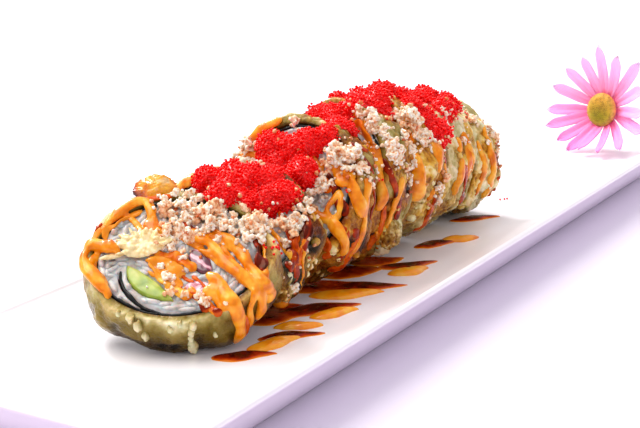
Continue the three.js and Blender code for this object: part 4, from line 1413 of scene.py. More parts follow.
# %% Heaps of eggs
ROE_HEAPS = [(0, 1), (2, 3), (4, 6)]
ROE_CLUMP = 5.6
ROE_SUNK = 0.1
EGG = 0.44
EGG_APART = 0.8
ROE = [
    (0, 11, 23, 13), (0, 12, 24, 6),
    (1, -10, 16, 14), (1, -3, 19, 13), (1, -3, 12, 14), (1, 3, 17, 14), (1, 9, 18, 12), (1, 3, 8, 14),
    (1, 9, 9, 14), (1, 14, 12, 13), (1, 12, 20, 5), (1, 10, 23, -1),
    (2, 2, 2, 16), (2, 5, 6, 20), (2, -10, 15, 16), (2, -7, 8, 16), (2, -3, 14, 16), (2, 1, 8, 16),
    (2, 3, 17, 16), (2, 8, 21, 14), (2, 8, 24, 8), (2, 4, 25, 3),
    (3, -6, 19, 20), (3, 0, 19, 20), (3, 4, 23, 18), (3, -3, 25, 15), (3, 1, 26, 10), (3, 5, 25.5, 4),
    (4, -4, 22, 22), (4, 3, 22, 22), (4, 0, 25, 15), (4, 4, 24.5, 9), (4, 3, 24.5, 3), (4, 10, 22, 12),
    (4, 14, 19, 9), (4, 19, 15.5, 7),
    (5, 0, 22, 21), (5, 5, 22, 17), (5, 4, 23, 10), (5, 9, 21, 4), (5, 13, 19, 14),
    (6, 3, 18, 19),
]


def roe_lumps(first, last):
    draw = seeded(7 + first)
    found = []
    for index, across, up, out in ROE:
        if not first <= index <= last:
            continue
        radius = ROE_CLUMP * (0.9 + 0.25 * draw())
        for _ in range(20):
            draw()
        centre = slices[index].matrix @ Vector((across, up, out))
        centre.z -= radius * ROE_SUNK
        found.append(placed(centre, (1, 0, 0), (0, 1, 0), [radius - 0.35] * 3))
    return found


def roe_core(first, last):
    mesh = fused(repeated(ball_shape(3), roe_lumps(first, last), "cores"), 0.8, 9)
    raw = points_of(mesh)
    uneven = 0.55 * lumps(raw, 5, 1, first) + 0.75 * lumps(raw, 2.4, 2, first + 9)
    move_points(mesh, raw + normals_of(mesh) * (uneven - 0.1)[:, None])
    return mesh


def in_food(points, sink):
    """Which points lie deeper than sink in the batter's outline of any slice."""
    inside = np.zeros(len(points), bool)
    for part in slices:
        local = part.to_slice(points)
        flat = np.hypot(local[:, 0] / (part.wide / 2), local[:, 1] / (part.high / 2))
        edge = (1 - flat) * part.high / 2 + 1
        deep = np.minimum(np.minimum(local[:, 2], part.thick - local[:, 2]), edge)
        inside |= deep > sink
    return inside


# %% Eggs on a skin
def spots_on(mesh, apart, tries, rng):
    """Random spots on a mesh that keep some distance, with the skin's direction at each."""
    mesh.calc_loop_triangles()
    corners = points_of(mesh)[np.array([tuple(face.vertices) for face in mesh.loop_triangles])]
    normal = np.cross(corners[:, 1] - corners[:, 0], corners[:, 2] - corners[:, 0])
    area = np.linalg.norm(normal, axis=1) / 2
    count = int(area.sum() / apart ** 2 * tries)
    face = rng.choice(len(area), count, p=area / area.sum())
    share = np.sqrt(rng.random(count))
    other = rng.random(count)
    a, b, c = corners[face, 0], corners[face, 1], corners[face, 2]
    spots = a * (1 - share)[:, None] + b * (share * (1 - other))[:, None] + c * (share * other)[:, None]
    keep = []
    near = {}
    for index, spot in enumerate(spots.tolist()):
        cell = tuple(math.floor(value / apart) for value in spot)
        around = (near.get((cell[0] + i, cell[1] + j, cell[2] + k)) for i in (-1, 0, 1) for j in (-1, 0, 1) for k in (-1, 0, 1))
        if any(math.dist(spot, old) < apart for cell_spots in around if cell_spots for old in cell_spots):
            continue
        near.setdefault(cell, []).append(spot)
        keep.append(index)
    ways = normal[face[keep]] / np.maximum(area[face[keep]], 1e-9)[:, None] / 2
    return spots[keep], ways


def egg_shape():
    bm = bmesh.new()
    bmesh.ops.create_uvsphere(bm, u_segments=6, v_segments=4, radius=1)
    return mesh_of(bm, "egg")


egg = egg_shape()


def egg_places(spots, rng):
    sizes = EGG * rng.uniform(0.86, 1.12, len(spots))
    ways = rng.normal(size=(len(spots), 3))
    return [placed(spot, way, (0.3, 0.5, 0.8), [size] * 3) for spot, way, size in zip(spots, ways, sizes)]


def roe_heap(first, last):
    rng = np.random.default_rng(first)
    core = roe_core(first, last)
    spots, ways = spots_on(core, EGG_APART, 5, rng)
    spots = spots + ways * rng.uniform(-0.1, 0.35, len(spots))[:, None]
    perched = rng.random(len(spots)) < 0.16
    spots = np.concatenate([spots, spots[perched] + ways[perched] * 0.6 + rng.normal(0, 0.2, (perched.sum(), 3))])
    spots = spots[~in_food(spots, 0.9) & (spots[:, 2] > WELL_FLOOR + EGG)]
    print("heap of", len(spots), "eggs")
    move_points(core, points_of(core) - normals_of(core) * 0.2)
    return joined([core, repeated(egg, egg_places(spots, rng), "eggs")], "roe")


# %% Egg finish
def fish_roe():
    soft = {
        "Subsurface Weight": 0.5,
        "Subsurface Scale": 0.0015,
        "Subsurface Radius": (1.0, 0.04, 0.02),
        "Specular IOR Level": 0.3,
        "Coat Weight": 0.06,
        "Coat Roughness": 0.1,
    }
    finish, tree, shader, place = new_finish("fish_roe", 0.32, soft)
    tone = ramp(tree, speckle(tree, place, 1.3, 2, 0.6), [
        (0.3, srgb(236, 0, 0)),
        (0.5, srgb(255, 2, 1)),
        (0.75, srgb(255, 30, 22)),
    ])
    tree.links.new(tone, shader.inputs["Base Color"])
    raised(tree, shader, speckle(tree, place, 0.35, 1, 0.5), 0.03, 0.4)
    return finish


roe_finish = fish_roe()
roe_things = [
    piece(roe_heap(*ends), f"roe_heap_{count}", roe_finish, [f"roe_{count}"])
    for count, ends in enumerate(ROE_HEAPS, 1)
]

# %% [markdown]
# Two sauces were drizzled over the row from side to side: a thick orange mayonnaise, and a thin dark
# sauce for eel that runs off and pools. Their strands follow the food under them. So each strand is
# laid as overlapping flattened drops: every drop falls onto the nearest food and turns with its
# surface, and all the drops then melt into one smooth skin with round edges and fused crossings.

# %% The food under the sauces
def surface_of(things):
    corners = []
    faces = []
    for thing in things:
        start = len(corners)
        corners += [tuple(point) for point in points_of(thing.data) / MM]
        faces += [tuple(start + index for index in face.vertices) for face in thing.data.polygons]
    return BVHTree.FromPolygons(corners, faces)


FOOD_NAMES = ("batter_", "rice_heap", "avocado_strip", "fish_strip", "crab_strip", "green_strip", "flake_scrap")
cooked = [
    thing for thing in bpy.context.scene.objects
    if thing.name.startswith(FOOD_NAMES) and not any(thing is solid for solid in frame["nodes"].values())
]
food = surface_of(cooked)
print("sauce lies on", len(cooked), "pieces")

# %% Strands of mayonnaise
STRANDS = [
    {"on": 0, "r": 1.9, "path": [
        (3, 8, 15.4), (9, 3, 15.6), (14.5, -3, 15.6), (20.5, -9.5, 15), (26, -13.6, 9), (25.5, -16, 3)]},
    {"on": 0, "r": 1.7, "path": [
        (10, 9, 15.2), (16, 3.5, 15.4), (20.5, -3, 15.4), (24.6, -9, 14.4), (28.6, -9.5, 8)]},
    {"on": 0, "r": 2.2, "path": [(9, -7, 15.3), (13.5, -12, 15.4), (17, -17.4, 14.6), (19, -20, 8), (18, -21, 2.5)]},
    {"on": 0, "r": 2.0, "path": [
        (-17, -0.5, 15.2), (-22, 2.6, 15.6), (-27, 2.4, 15), (-27.6, -3, 13.8), (-23, -8.5, 14.6), (-18, -15, 15)]},
    {"on": 0, "r": 1.7, "path": [
        (-20.6, 12.6, 14.6), (-18.2, 16.6, 14.8), (-15, 19.4, 14.9), (-11.8, 19.6, 15), (-9.8, 17, 15.3), (-9.6, 13, 15.3)]},
    {"on": 1, "r": 1.6, "path": [(-20.5, 9, 13.5), (-18, 15, 13.8), (-13.5, 19.6, 13.4), (-8, 21.6, 12.5)]},
    {"on": 2, "r": 1.6, "path": [(-20.5, 11, 15), (-16, 19, 15.6), (-9, 24, 15.2)]},
    {"on": 2, "r": 1.6, "path": [(16, 14, 13), (21.5, 8.5, 12.5), (24, 1.5, 12), (23.4, -7, 9), (20, -15, 6)]},
    {"on": 3, "r": 1.3, "path": [(20.5, 12, 14), (23.6, 4, 13), (23.6, -5, 12), (20.6, -13, 9)]},
    {"on": 4, "r": 2.9, "path": [(21, 9, 13), (23.4, 2, 13), (22.4, -8, 12)]},
    {"on": 5, "r": 1.8, "path": [(20, 10, 14), (22.8, 1, 13), (20.8, -9, 12)]},
    {"on": 6, "r": 1.7, "path": [(16, 15, 12), (21.4, 6, 11), (21.4, -4, 10), (18.6, -12, 8)]},
]
RUNS = [
    {"on": 0, "r": 1.6, "path": [(10, -11), (14, -13.8), (17.5, -16.5, 12.5), (18.4, -19.4, 6.7), (16.5, -20.5, 1)]},
    {"on": 0, "r": 1.3, "path": [(18.3, -7.7), (21.8, -11), (23.4, -14), (21.5, -16.3, 9), (21.4, -16.5, 2)]},
    {"on": 2, "r": 1.35, "path": [
        (16.6, 3), (16.2, 0.6), (15.5, -1.3), (14.6, -3.1), (14.7, -5.6), (16.4, -7.2)]},
    {"on": 2, "r": 1.15, "path": [(16.6, 3), (18.2, 0.4), (18.8, -3), (18.7, -5.4), (17.1, -7.1)]},
    {"on": 2, "r": 1.7, "path": [(8.4, -4.4), (10.6, -5.9), (13, -7.1), (16.4, -7.2)]},
    {"on": 2, "r": 2.1, "path": [(16.4, -7.2), (19.4, -10.1), (21.6, -12.4), (21.1, -14.1, 12.8), (19.9, -16.1, 10)]},
    {"on": 3, "r": 0.75, "path": [(10.4, 20.5), (11.4, 16.5), (13.8, 12.7), (16.8, 8), (18.6, 4.5)]},
    {"on": 3, "r": 1.9, "path": [(18.8, 4.5), (20.7, 0.7), (22.3, -3.1), (23.5, -6.6, 19.8), (22.8, -9, 19)]},
    {"on": 3, "r": 1.1, "path": [(19.9, -15.2, 13.6), (17.8, -18.1, 6.1), (15.4, -20.6, 1.5)]},
    {"on": 4, "r": 3.6, "path": [(21, 5.5), (22.2, 0.5), (23.1, -3.9), (22.4, -8, 20.6)]},
    {"on": 1, "r": 2.3, "path": [(17.4, -17.2, 6), (16.6, -18.4, 2)]},
]

# %% Thinner mayonnaise that lies close to the food
FILMS = [
    {"on": 0, "r": 1.3, "path": [(-1, 7), (4.4, 4), (8.2, 1), (12.6, -3), (16.9, -6.6), (20.1, -10.6)]},
    {"on": 0, "r": 1.4, "path": [(5, 9), (10, 6), (15, 3), (19, -1.5), (22.5, -8)]},
    {"on": 0, "r": 1.6, "path": [(-5.2, -7.2), (-3.4, -9.1), (-1.3, -11.2), (1.8, -13.3)]},
    {"on": 0, "r": 1.3, "path": [(4.4, -11.8), (7, -15.2), (9.5, -18)]},
    {"on": 0, "r": 1.9, "path": [(9, -12.6), (12.5, -15.5), (15, -19)]},
    {"on": 0, "r": 1.6, "path": [(-2.5, -11.6), (1.4, -13.2), (4.2, -14.6)]},
    {"on": 0, "r": 0.8, "path": [(-9.4, -2.2), (-6, -1.9), (-4.2, -4.4), (-6, -7.4), (-8, -6)]},
    {"on": 0, "r": 1.3, "path": [(-23.3, 1.5), (-24.2, -4.3), (-21.5, -8), (-19.4, -11.5), (-18.3, -15.7)]},
    {"on": 0, "r": 1.3, "path": [(-19.6, 13.6), (-17.6, 15), (-15, 13.4), (-12.6, 10.4), (-11, 7.6)]},
    {"on": 0, "r": 1.5, "path": [(-10, 17.6), (-9.4, 13.6), (-10, 10)]},
    {"on": 0, "r": 1.2, "path": [(-19.8, 14.2), (-22, 11.6), (-23.4, 8.8)]},
    {"on": 0, "r": 0.8, "path": [(20, 12.5), (22.5, 9), (24.3, 1), (25.6, -6), (26.5, -8.7, 8)]},
    {"on": 0, "r": 2.3, "path": [(26, -8.6, 10), (26.6, -9.5, 6)]},
    {"on": 0, "r": 2.2, "path": [(-9.5, 15), (-8.4, 10), (-6.5, 7)]},
    {"on": 1, "r": 1.9, "path": [(-17.8, 13.5), (-15, 18.6), (-12, 20.8)]},
    {"on": 1, "r": 0.6, "path": [(24.2, -1.8, 14), (24, -7.4, 12), (22.6, -10.6, 6), (20.6, -14, 1)]},
    {"on": 1, "r": 1.0, "path": [(11, 1), (14.6, -2.6), (17.5, -6), (20.5, -9.5), (21.5, -12.5, 9)]},
    {"on": 2, "r": 1.7, "path": [(-21.5, 8), (-18.3, 10.1), (-13, 10.8)]},
    {"on": 2, "r": 2.4, "path": [(17, 11), (20.3, 5.5), (23, 1.2, 15.5), (24.5, -3.6, 12)]},
    {"on": 2, "r": 2.6, "path": [(13, 12), (15.5, 8), (18.5, 5)]},
    {"on": 2, "r": 2.0, "path": [(-2, 18), (2, 14), (6, 10), (9, 9)]},
    {"on": 3, "r": 2.4, "path": [(14, 12), (17, 8.5), (19.6, 4)]},
    {"on": 3, "r": 1.2, "path": [(5, 22), (10, 19), (14, 16)]},
    {"on": 4, "r": 1.2, "path": [(14, 15), (18, 10), (20, 6)]},
    {"on": 4, "r": 1.6, "path": [(6, 20), (11, 18), (15, 16)]},
    {"on": 4, "r": 1.2, "path": [(23.3, 5, 6), (23.7, 0.9, 4), (23.4, -4, 1)]},
    {"on": 5, "r": 1.6, "path": [(21.6, 8.9, 7.5), (22.7, 4.7, 5.5), (23, -1, 2.8)]},
    {"on": 6, "r": 1.5, "path": [(19.5, 9.5, 17), (21.3, -1, 16), (19.6, -10.6, 15)]},
]


# %% Lay drops along a strand
def on_food(strand, step):
    """Soft spots on the food under a strand, with the food's direction there."""
    part = slices[strand["on"]]
    path = [spot if len(spot) == 3 else (*spot, part.thick) for spot in strand["path"]]
    count = max(int(line_length(path) / step), 5)
    found = [food.find_nearest(part.matrix @ smooth_line(path, i / count)) for i in range(count + 1)]
    spots = np.array([tuple(hit[0]) for hit in found])
    ways = np.array([tuple(hit[1]) for hit in found])
    window = max(int(strand["r"] * 1.1 / step), 1)
    kernel = np.ones(2 * window + 1) / (2 * window + 1)

    def calm(rows):
        wide = np.pad(rows, ((window, window), (0, 0)), "edge")
        return np.column_stack([np.convolve(wide[:, axis], kernel, "valid") for axis in range(3)])

    return calm(spots), calm(ways)


def drops_along(strand, tall, lift, draw):
    """Flattened drops on the food along a strand, thinner and thicker by turns."""
    step = strand["r"] * 0.28
    spots, ways = on_food(strand, step)
    phase = draw() * 6
    drops = []
    for count, (spot, way) in enumerate(zip(spots, ways)):
        share = count / (len(spots) - 1)
        ends = min(1, 0.6 + 3.5 * min(share, 1 - share))
        swell = 1 + 0.13 * math.sin(phase + count * step / 2.9) + 0.06 * math.sin(phase * 3 + count * step / 1.1)
        half = strand["r"] * ends * swell
        up = Vector(way).normalized()
        drops.append(placed(Vector(spot) + up * half * lift, up.orthogonal(), up, (half, half * tall, half)))
    return drops


draw = seeded(61)
mayo_drops = []
for strand in STRANDS:
    mayo_drops += drops_along(strand, 0.66, 0.34, draw)
for run in RUNS:
    mayo_drops += drops_along(run, 0.62, 0.3, draw)
for film in FILMS:
    mayo_drops += drops_along(film, 0.45, 0.16, draw)
print("mayonnaise is laid with", len(mayo_drops), "drops")

# %% Eel sauce on the food
GLAZES = [
    {"on": 0, "r": 2.2, "deep": 0.12, "path": [(-9, -1.6), (-6.4, -2), (-3.5, -3), (-0.8, -4.7), (2.3, -7.1)]},
    {"on": 0, "r": 1.6, "deep": 0.12, "path": [(-5.5, -5.6), (-3.4, -7.2), (-1, -9), (2, -11)]},
    {"on": 0, "r": 1.5, "deep": 0.12, "path": [(-7.8, -3.6), (-5.4, -6.6), (-3.2, -9.4), (-0.6, -12.2)]},
    {"on": 0, "r": 1.2, "deep": 0.35, "path": [(-23.6, 9.6), (-25, 6.4), (-25.7, 3.2)]},
    {"on": 0, "r": 1.4, "deep": 0.16, "path": [(-22.8, 6), (-21.2, 9.6), (-18.8, 12.6), (-15.8, 15.4), (-13, 17.4)]},
    {"on": 0, "r": 1.1, "deep": 0.7, "path": [(4.6, 8.4), (7.7, 5.8), (9.4, 3.2)]},
    {"on": 0, "r": 1.5, "deep": 0.6, "path": [(5.6, -13.8), (8.2, -16.4), (9.9, -19.7)]},
    {"on": 0, "r": 1.2, "deep": 0.3, "path": [(11.2, 4.4), (14.2, 0.3), (16.8, -3.7)]},
    {"on": 0, "r": 1.8, "deep": 0.3, "path": [(-7, 0.5), (-2, 0), (2, -2), (5, -5)]},
    {"on": 0, "r": 0.9, "deep": 0.6, "path": [(-0.2, -5.4), (2.9, -8.2), (5.3, -9.6)]},
    {"on": 0, "r": 1.4, "deep": 0.35, "path": [(4, -13.4), (8, -15.5), (10.6, -18.3), (13, -20.6)]},
    {"on": 0, "r": 1.8, "deep": 0.3, "path": [(-9.6, 14), (-9, 9.5), (-7, 6)]},
    {"on": 0, "r": 1.5, "deep": 0.8, "path": [(-2.6, 13), (1, 11), (4.5, 9)]},
    {"on": 0, "r": 1.9, "deep": 0.9, "path": [(18, 13), (21.8, 9), (23, 2), (24.3, -5)]},
    {"on": 0, "r": 1.0, "deep": 0.7, "path": [(-27.5, 6, 12), (-25.5, 9.5), (-23.5, 11.5)]},
    {"on": 0, "r": 2.4, "deep": 0.4, "path": [(19.6, -17, 8), (19.5, -19, 3), (19, -20, 0)]},
    {"on": 0, "r": 1.3, "deep": 0.6, "path": [(8.7, -15.9), (10.6, -18.3), (12.4, -20), (14.2, -21.3)]},
    {"on": 0, "r": 0.8, "deep": 0.5, "path": [(4.5, -7.5), (7, -9.5), (9.5, -13)]},
    {"on": 0, "r": 1.2, "deep": 0.55, "path": [(-13.5, 20), (-9.5, 21.5), (-4, 22.4)]},
    {"on": 1, "r": 1.7, "deep": 0.9, "path": [(18.8, 1.4), (22, 4), (24.3, -1), (23, -7, 12)]},
    {"on": 1, "r": 0.7, "deep": 0.35, "path": [(24.2, -1.4), (24.4, -6), (23.6, -8.6, 10), (22.6, -10.6, 4)]},
    # This dark film fills a gap on the second slice: partly eel sauce, partly painted shade.
    {"on": 1, "r": 1.5, "deep": 0.95, "path": [(19.2, -11.3), (21.1, -13.2, 12.8), (22.6, -10.7, 13.4)]},
    {"on": 1, "r": 1.5, "deep": 0.8, "path": [(18, -6), (21, -9), (21.6, -12.4, 9), (19.6, -16, 4)]},
    {"on": 1, "r": 1.9, "deep": 0.45, "path": [(14, 6), (18, 1.4), (21, -5), (22.4, -10, 9)]},
    {"on": 2, "r": 1.9, "deep": 0.9, "path": [(11, 7), (15, 3.8), (17.4, -0.6), (21, -5)]},
    {"on": 2, "r": 1.6, "deep": 0.8, "path": [(21.4, -9.4), (20.6, -14, 12), (18, -18.6, 8)]},
    {"on": 2, "r": 1.9, "deep": 0.6, "path": [(9, -8), (13, -12), (17, -15.5), (16, -19, 12)]},
    {"on": 2, "r": 1.6, "deep": 0.9, "path": [(18, 16), (21.2, 13.9, 10), (24.3, 5, 6), (24.4, -2, 3)]},
    {"on": 2, "r": 2.4, "deep": 0.5, "path": [(22.6, -9, 9), (20, -15.6, 6), (15, -20.6, 4)]},
    {"on": 3, "r": 1.6, "deep": 1.0, "path": [(20.6, 7.4), (23.6, 2, 18), (24.2, -3.6, 11), (22, -11, 5)]},
    {"on": 2, "r": 2.4, "deep": 0.3, "path": [(1, 10), (6, 7.5), (10, 5), (14, 2)]},
    {"on": 2, "r": 1.5, "deep": 0.9, "path": [(22.6, -8.5, 13), (22.8, -10.5, 8), (21.6, -12.6, 2)]},
    {"on": 2, "r": 1.6, "deep": 0.8, "path": [(17.6, 18.9), (18.4, 18.1, 9), (20, 15, 4)]},
    {"on": 3, "r": 2.0, "deep": 0.9, "path": [(6.8, 15.3), (9.5, 11.5), (13, 7.5)]},
    {"on": 3, "r": 2.4, "deep": 0.25, "path": [(8, 19), (12, 15), (15, 11)]},
    {"on": 3, "r": 1.6, "deep": 0.5, "path": [(22.8, -7, 15), (20, -14, 12), (14, -20.6, 9)]},
    {"on": 4, "r": 2.2, "deep": 0.25, "path": [(8, 18), (13, 15), (18, 9)]},
    {"on": 4, "r": 1.9, "deep": 0.9, "path": [(23.2, 5.5, 4), (22.2, 9, 10), (23.4, 3.8, 9)]},
    {"on": 4, "r": 2.2, "deep": 0.5, "path": [(22.8, -6, 8), (20.6, -13, 5), (16, -18.4, 6)]},
    {"on": 5, "r": 1.9, "deep": 0.7, "path": [(23.2, 1, 11.7), (22.9, -4, 6.6), (19.3, -13, 2)]},
    {"on": 5, "r": 2.2, "deep": 0.24, "path": [(19.5, 12.6, 9), (21.6, 8.9, 7.5), (23, 3.3, 7.2), (22.9, -4, 5.8)]},
    {"on": 6, "r": 1.9, "deep": 0.7, "path": [(21.6, 4, 5), (21, -6, 4), (18, -12.6, 3)]},
]
eel_groups = {}
for glaze in GLAZES:
    eel_groups.setdefault(glaze["deep"], []).extend(drops_along(glaze, 0.3, 0.08, draw))
print("eel sauce is laid with", sum(map(len, eel_groups.values())), "drops")

# %% Tails on the plate
EEL_HIGH = 1.0
MAYO_HIGH = 1.7
TAILS = [
    (-131.9, -25.3, 19, 7.5, -50, EEL_HIGH),
    (-119.5, -27.4, 18, 7, -26, MAYO_HIGH),
    (-111.4, -28.4, 21, 6.5, -43, EEL_HIGH),
    (-103.6, -26.2, 15, 5.5, -45, MAYO_HIGH),
    (-87.6, -22.5, 30, 10.5, -41, EEL_HIGH),
    (-88.2, -29.4, 17, 6.5, -33, MAYO_HIGH),
    (-70.6, -23.8, 24, 7.5, -48, MAYO_HIGH),
    (-60.8, -25.2, 27, 9.5, -48, EEL_HIGH),
    (-33, -26.6, 22, 7, -38, EEL_HIGH),
    (-39.6, -30, 16, 6.5, -28, MAYO_HIGH),
    (-5.6, -23.5, 18, 7.5, -34, EEL_HIGH),
    (3.4, -28.4, 15, 6, -35, MAYO_HIGH),
    (32.1, -21.4, 21, 7, -42, EEL_HIGH),
]


POOL_HIGH = 0.68
TAIL_SWAY = 0.7
POOLS = [
    (-102, -14, 22, 12, -48, POOL_HIGH),
    (-93, -14, 22, 13, -40, POOL_HIGH),
    (-67, -13.5, 24, 13, -35, POOL_HIGH),
    (-49, -13.5, 23, 14, -35, POOL_HIGH),
    (-34, -15, 20, 12, -38, POOL_HIGH),
]


def tail_mesh(x, y, long, wide, heading, high):
    """A low drop of sauce with a round end and a drawn-out tip, domed over its outline."""
    bm = bmesh.new()
    turned_by = math.radians(heading)
    rings = []
    domes = 7
    for level in range(-1, domes):
        rise = max(level, 0) / (domes - 0.5) * math.pi / 2
        scale = math.cos(rise) if level >= 0 else 0.97
        z = math.sin(rise) * high if level >= 0 else -0.4
        ring = []
        for step in range(48):
            angle = step / 48 * math.tau
            along = math.cos(angle)
            taper = 1 - 0.62 * along if along > 0 else 1
            wobble = 1 + 0.1 * noise.noise((x + along * 2, y + math.sin(angle) * 2, high))
            u = along * long * 0.5 * scale * wobble
            v = math.sin(angle) * wide * 0.5 * taper * scale * wobble + TAIL_SWAY * math.sin(along * 2.6 + x)
            ring.append((
                x + u * math.cos(turned_by) - v * math.sin(turned_by),
                y + u * math.sin(turned_by) + v * math.cos(turned_by),
                WELL_FLOOR + z,
            ))
        rings.append(ring)
    loft(bm, rings)
    face_out(bm)
    mesh = mesh_of(bm, "tail")
    height = points_of(mesh)[:, 2] - WELL_FLOOR
    painted(mesh, "thick", np.clip(height / EEL_HIGH, 0, 1))
    return mesh


# %% Sauce finishes
def spicy_mayo(name, stops, coat):
    soft = {
        "Subsurface Weight": 0.2,
        "Subsurface Scale": 0.0015,
        "Subsurface Radius": (1.0, 0.4, 0.1),
        "Specular IOR Level": 0.3,
        "Specular Tint": srgb(255, 206, 120),
        "Coat Weight": coat,
        "Coat Roughness": 0.07,
    }
    finish, tree, shader, place = new_finish(name, 0.3, soft)
    tone = ramp(tree, speckle(tree, place, 4.5, 2, 0.55), stops)
    tree.links.new(tone, shader.inputs["Base Color"])
    raised(tree, shader, speckle(tree, place, 2.4, 1, 0.5), 0.04, 0.3)
    return finish


def eel_glaze():
    soft = {
        "Subsurface Weight": 0.08,
        "Subsurface Scale": 0.0015,
        "Subsurface Radius": (1.0, 0.25, 0.05),
        "Specular IOR Level": 0.3,
        "Specular Tint": srgb(255, 140, 60),
        "Coat Weight": 0.16,
        "Coat Roughness": 0.03,
    }
    finish, tree, shader, place = new_finish("eel_glaze", 0.2, soft)
    depth = kept(tree, "thick")
    uneven = speckle(tree, place, 4, 2, 0.5)
    tone = ramp(tree, times(tree, depth, between(tree, uneven, 0.3, 0.7, 0.65, 1.2)), [
        (0.02, srgb(238, 160, 56)),
        (0.14, srgb(232, 134, 20)),
        (0.3, srgb(212, 86, 6)),
        (0.5, srgb(160, 38, 3)),
        (0.75, srgb(92, 10, 2)),
        (1.0, srgb(50, 4, 2)),
    ])
    tree.links.new(tone, shader.inputs["Base Color"])
    return finish


# %% Melt the sauces
mayo_finish = spicy_mayo("spicy_mayo", [
    (0.32, srgb(214, 106, 0)),
    (0.48, srgb(240, 140, 4)),
    (0.68, srgb(254, 184, 58)),
], 0.5)
drop_finish = spicy_mayo("mayo_drops", [
    (0.3, srgb(246, 134, 4)),
    (0.5, srgb(254, 160, 14)),
    (0.72, srgb(255, 190, 60)),
], 0.8)
eel_finish = eel_glaze()
mayo_mesh = fused(repeated(small_ball, mayo_drops, "drops"), 0.34, 3)
mayo_thing = piece(mayo_mesh, "mayo_strands", mayo_finish)
eel_parts = []
for deep, drops in eel_groups.items():
    film = fused(repeated(small_ball, drops, "drops"), 0.34, 3)
    depths = [food.find_nearest(Vector(point))[3] for point in points_of(film)]
    painted(film, "thick", np.clip(np.array(depths) / 0.8, 0.65 if deep > 0.4 else 0.25, 1) * deep)
    eel_parts.append(film)
piece(joined(eel_parts, "eel"), "eel_strands", eel_finish)
mayo_tails = joined([tail_mesh(*tail) for tail in TAILS if tail[5] == MAYO_HIGH], "tails")
eel_tails = joined([tail_mesh(*tail) for tail in TAILS + POOLS if tail[5] != MAYO_HIGH], "tails")
piece(mayo_tails, "mayo_tails", drop_finish, ["plate"])
piece(eel_tails, "eel_tails", eel_finish, ["plate"])

# %% [markdown]
# Crumbs and eggs also lie loose all over the row. Loose knots of crumb are thrown round the places
# where the food shows them, and each falls onto whatever is nearest. Smaller bits and single eggs
# follow in the same way, thickest close to the heaps they came from.

# %% Loose knots of crumb
LOOSE = {
    0: [(-4.6, 12.4), (-2.2, 14.8), (0.7, 15.6), (3.9, 12.5), (6.7, 7.3), (9.8, 4.3), (10.2, 7.3), (12.8, 11.2),
        (15.3, 8.9), (18.3, 6.7), (20.8, 5.2), (23.5, 7.5), (-1, 9.5), (-4, 7), (-3, 22.7),
        (2, 22.4), (7, 21.8), (13, 20), (18, 16.5), (22, 12.5), (-5, 19), (0, 19), (5, 19), (10, 17),
        (14, 15.5), (19, 12), (1.5, -1.5), (-2.6, -9.7), (-4.5, -7.6), (-0.7, -11.1), (8, 9.5),
        (9.3, -17.5), (5.8, -14), (-4, 1.5), (0.5, 2.5)],
    1: [(17.2, -3.7), (18.9, 0.7), (21, 3), (19.4, -2.1), (21.6, -0.6), (11.9, 1.6), (14.7, -0.3), (16.6, 3.4),
        (22.5, 8), (21.6, 11), (17, -12.5), (19.2, -15.7, 6), (16.5, -15.5), (-2, 20.5), (4, 21)],
    2: [(1.5, 9.1), (6.1, 7.5), (10.7, 6), (13.4, 3.6), (9.3, 3.2), (9.5, -0.2), (-21.7, 11.5), (-19.2, 13.1),
        (-15.4, 12.8), (-16.8, 9.9), (14, 12.4), (16.6, 16.1), (19.9, 13.7), (18.7, 10.2), (22.7, 10.7, 14),
        (22.4, 11.4, 4.3), (24, 6.5, 11), (3.6, 7.9), (9.1, 6.8), (11.7, 10.5), (7.7, 8.4), (11.6, 3.7),
        (16.2, 13.3), (19, 16.3), (14.1, 16.5), (19.3, 12), (21.5, 10.2), (-4, 22), (8, 0.5), (4, 5)],
    3: [(18.5, 14.6), (21.3, 12.7, 17.9), (21.7, 8.9), (21.7, 11.8, 13.6), (23.4, 6.6, 16.3), (23.6, 6.1, 9.9),
        (21.9, 11.4, 4), (24, 3.6, 6.3), (12, 20), (15.8, 13.6), (20.7, 13.8, 14.9), (11, 18.2), (19.7, 9.7),
        (21.6, 11.9, 19.8), (19.4, 16, 10.7), (22.4, 10, 15.9), (9.1, 21.4), (13.1, 20.1), (6.5, 22.5), (16.5, 17, 8)],
    4: [(14.6, 15.7), (18.1, 14), (20.7, 12.5, 20.6), (21.3, 11.3, 13.8), (22.1, 9.3, 8.6), (23.4, 3.8, 15.2),
        (23.7, 1.3, 7.1), (23.5, -3.2, 9.7), (22.6, -7.9, 6.1), (9, 19), (12, 16.8), (16.8, 16.6), (10, 21, 12),
        (19.5, 9.5), (17, 12), (20.1, 13.6, 6.4), (21.6, 10.5, 9.7), (14.1, 20.4, 22)],
    5: [(17, 13, 18), (20, 10, 9), (15, 15.6, 6), (11, 18, 14), (13.9, 19.2, 15.7), (16.4, 16.9, 17.7), (15, 18, 16.7)],
    6: [(14, 15, 17), (18, 10, 10), (9, 18, 12), (16, 13, 4), (4, 20, 8), (17.9, 13.2, 3.5), (21.9, 3.8, 2.9),
        (15.8, 15.8, 14.8), (20.7, 8, 11.7), (20, 9, 3)],
}


def loose_spots():
    spots = []
    for index, places in LOOSE.items():
        part = slices[index]
        spots += [part.matrix @ Vector(place if len(place) == 3 else (*place, part.thick)) for place in places]
    return spots


rng = np.random.default_rng(17)
dressed = surface_of(cooked + crumb_things + roe_things + [mayo_thing])
balls = []
for spot in loose_spots():
    for _ in range(2):
        hit, way, _, _ = dressed.find_nearest(spot + Vector(rng.normal(0, 1.1, 3)))
        radius = rng.uniform(1.0, 2.1)
        balls += knot(hit + way * radius * 0.5, radius, rng)
piece(knotted(balls, 5), "loose_knots", crumb_finish)


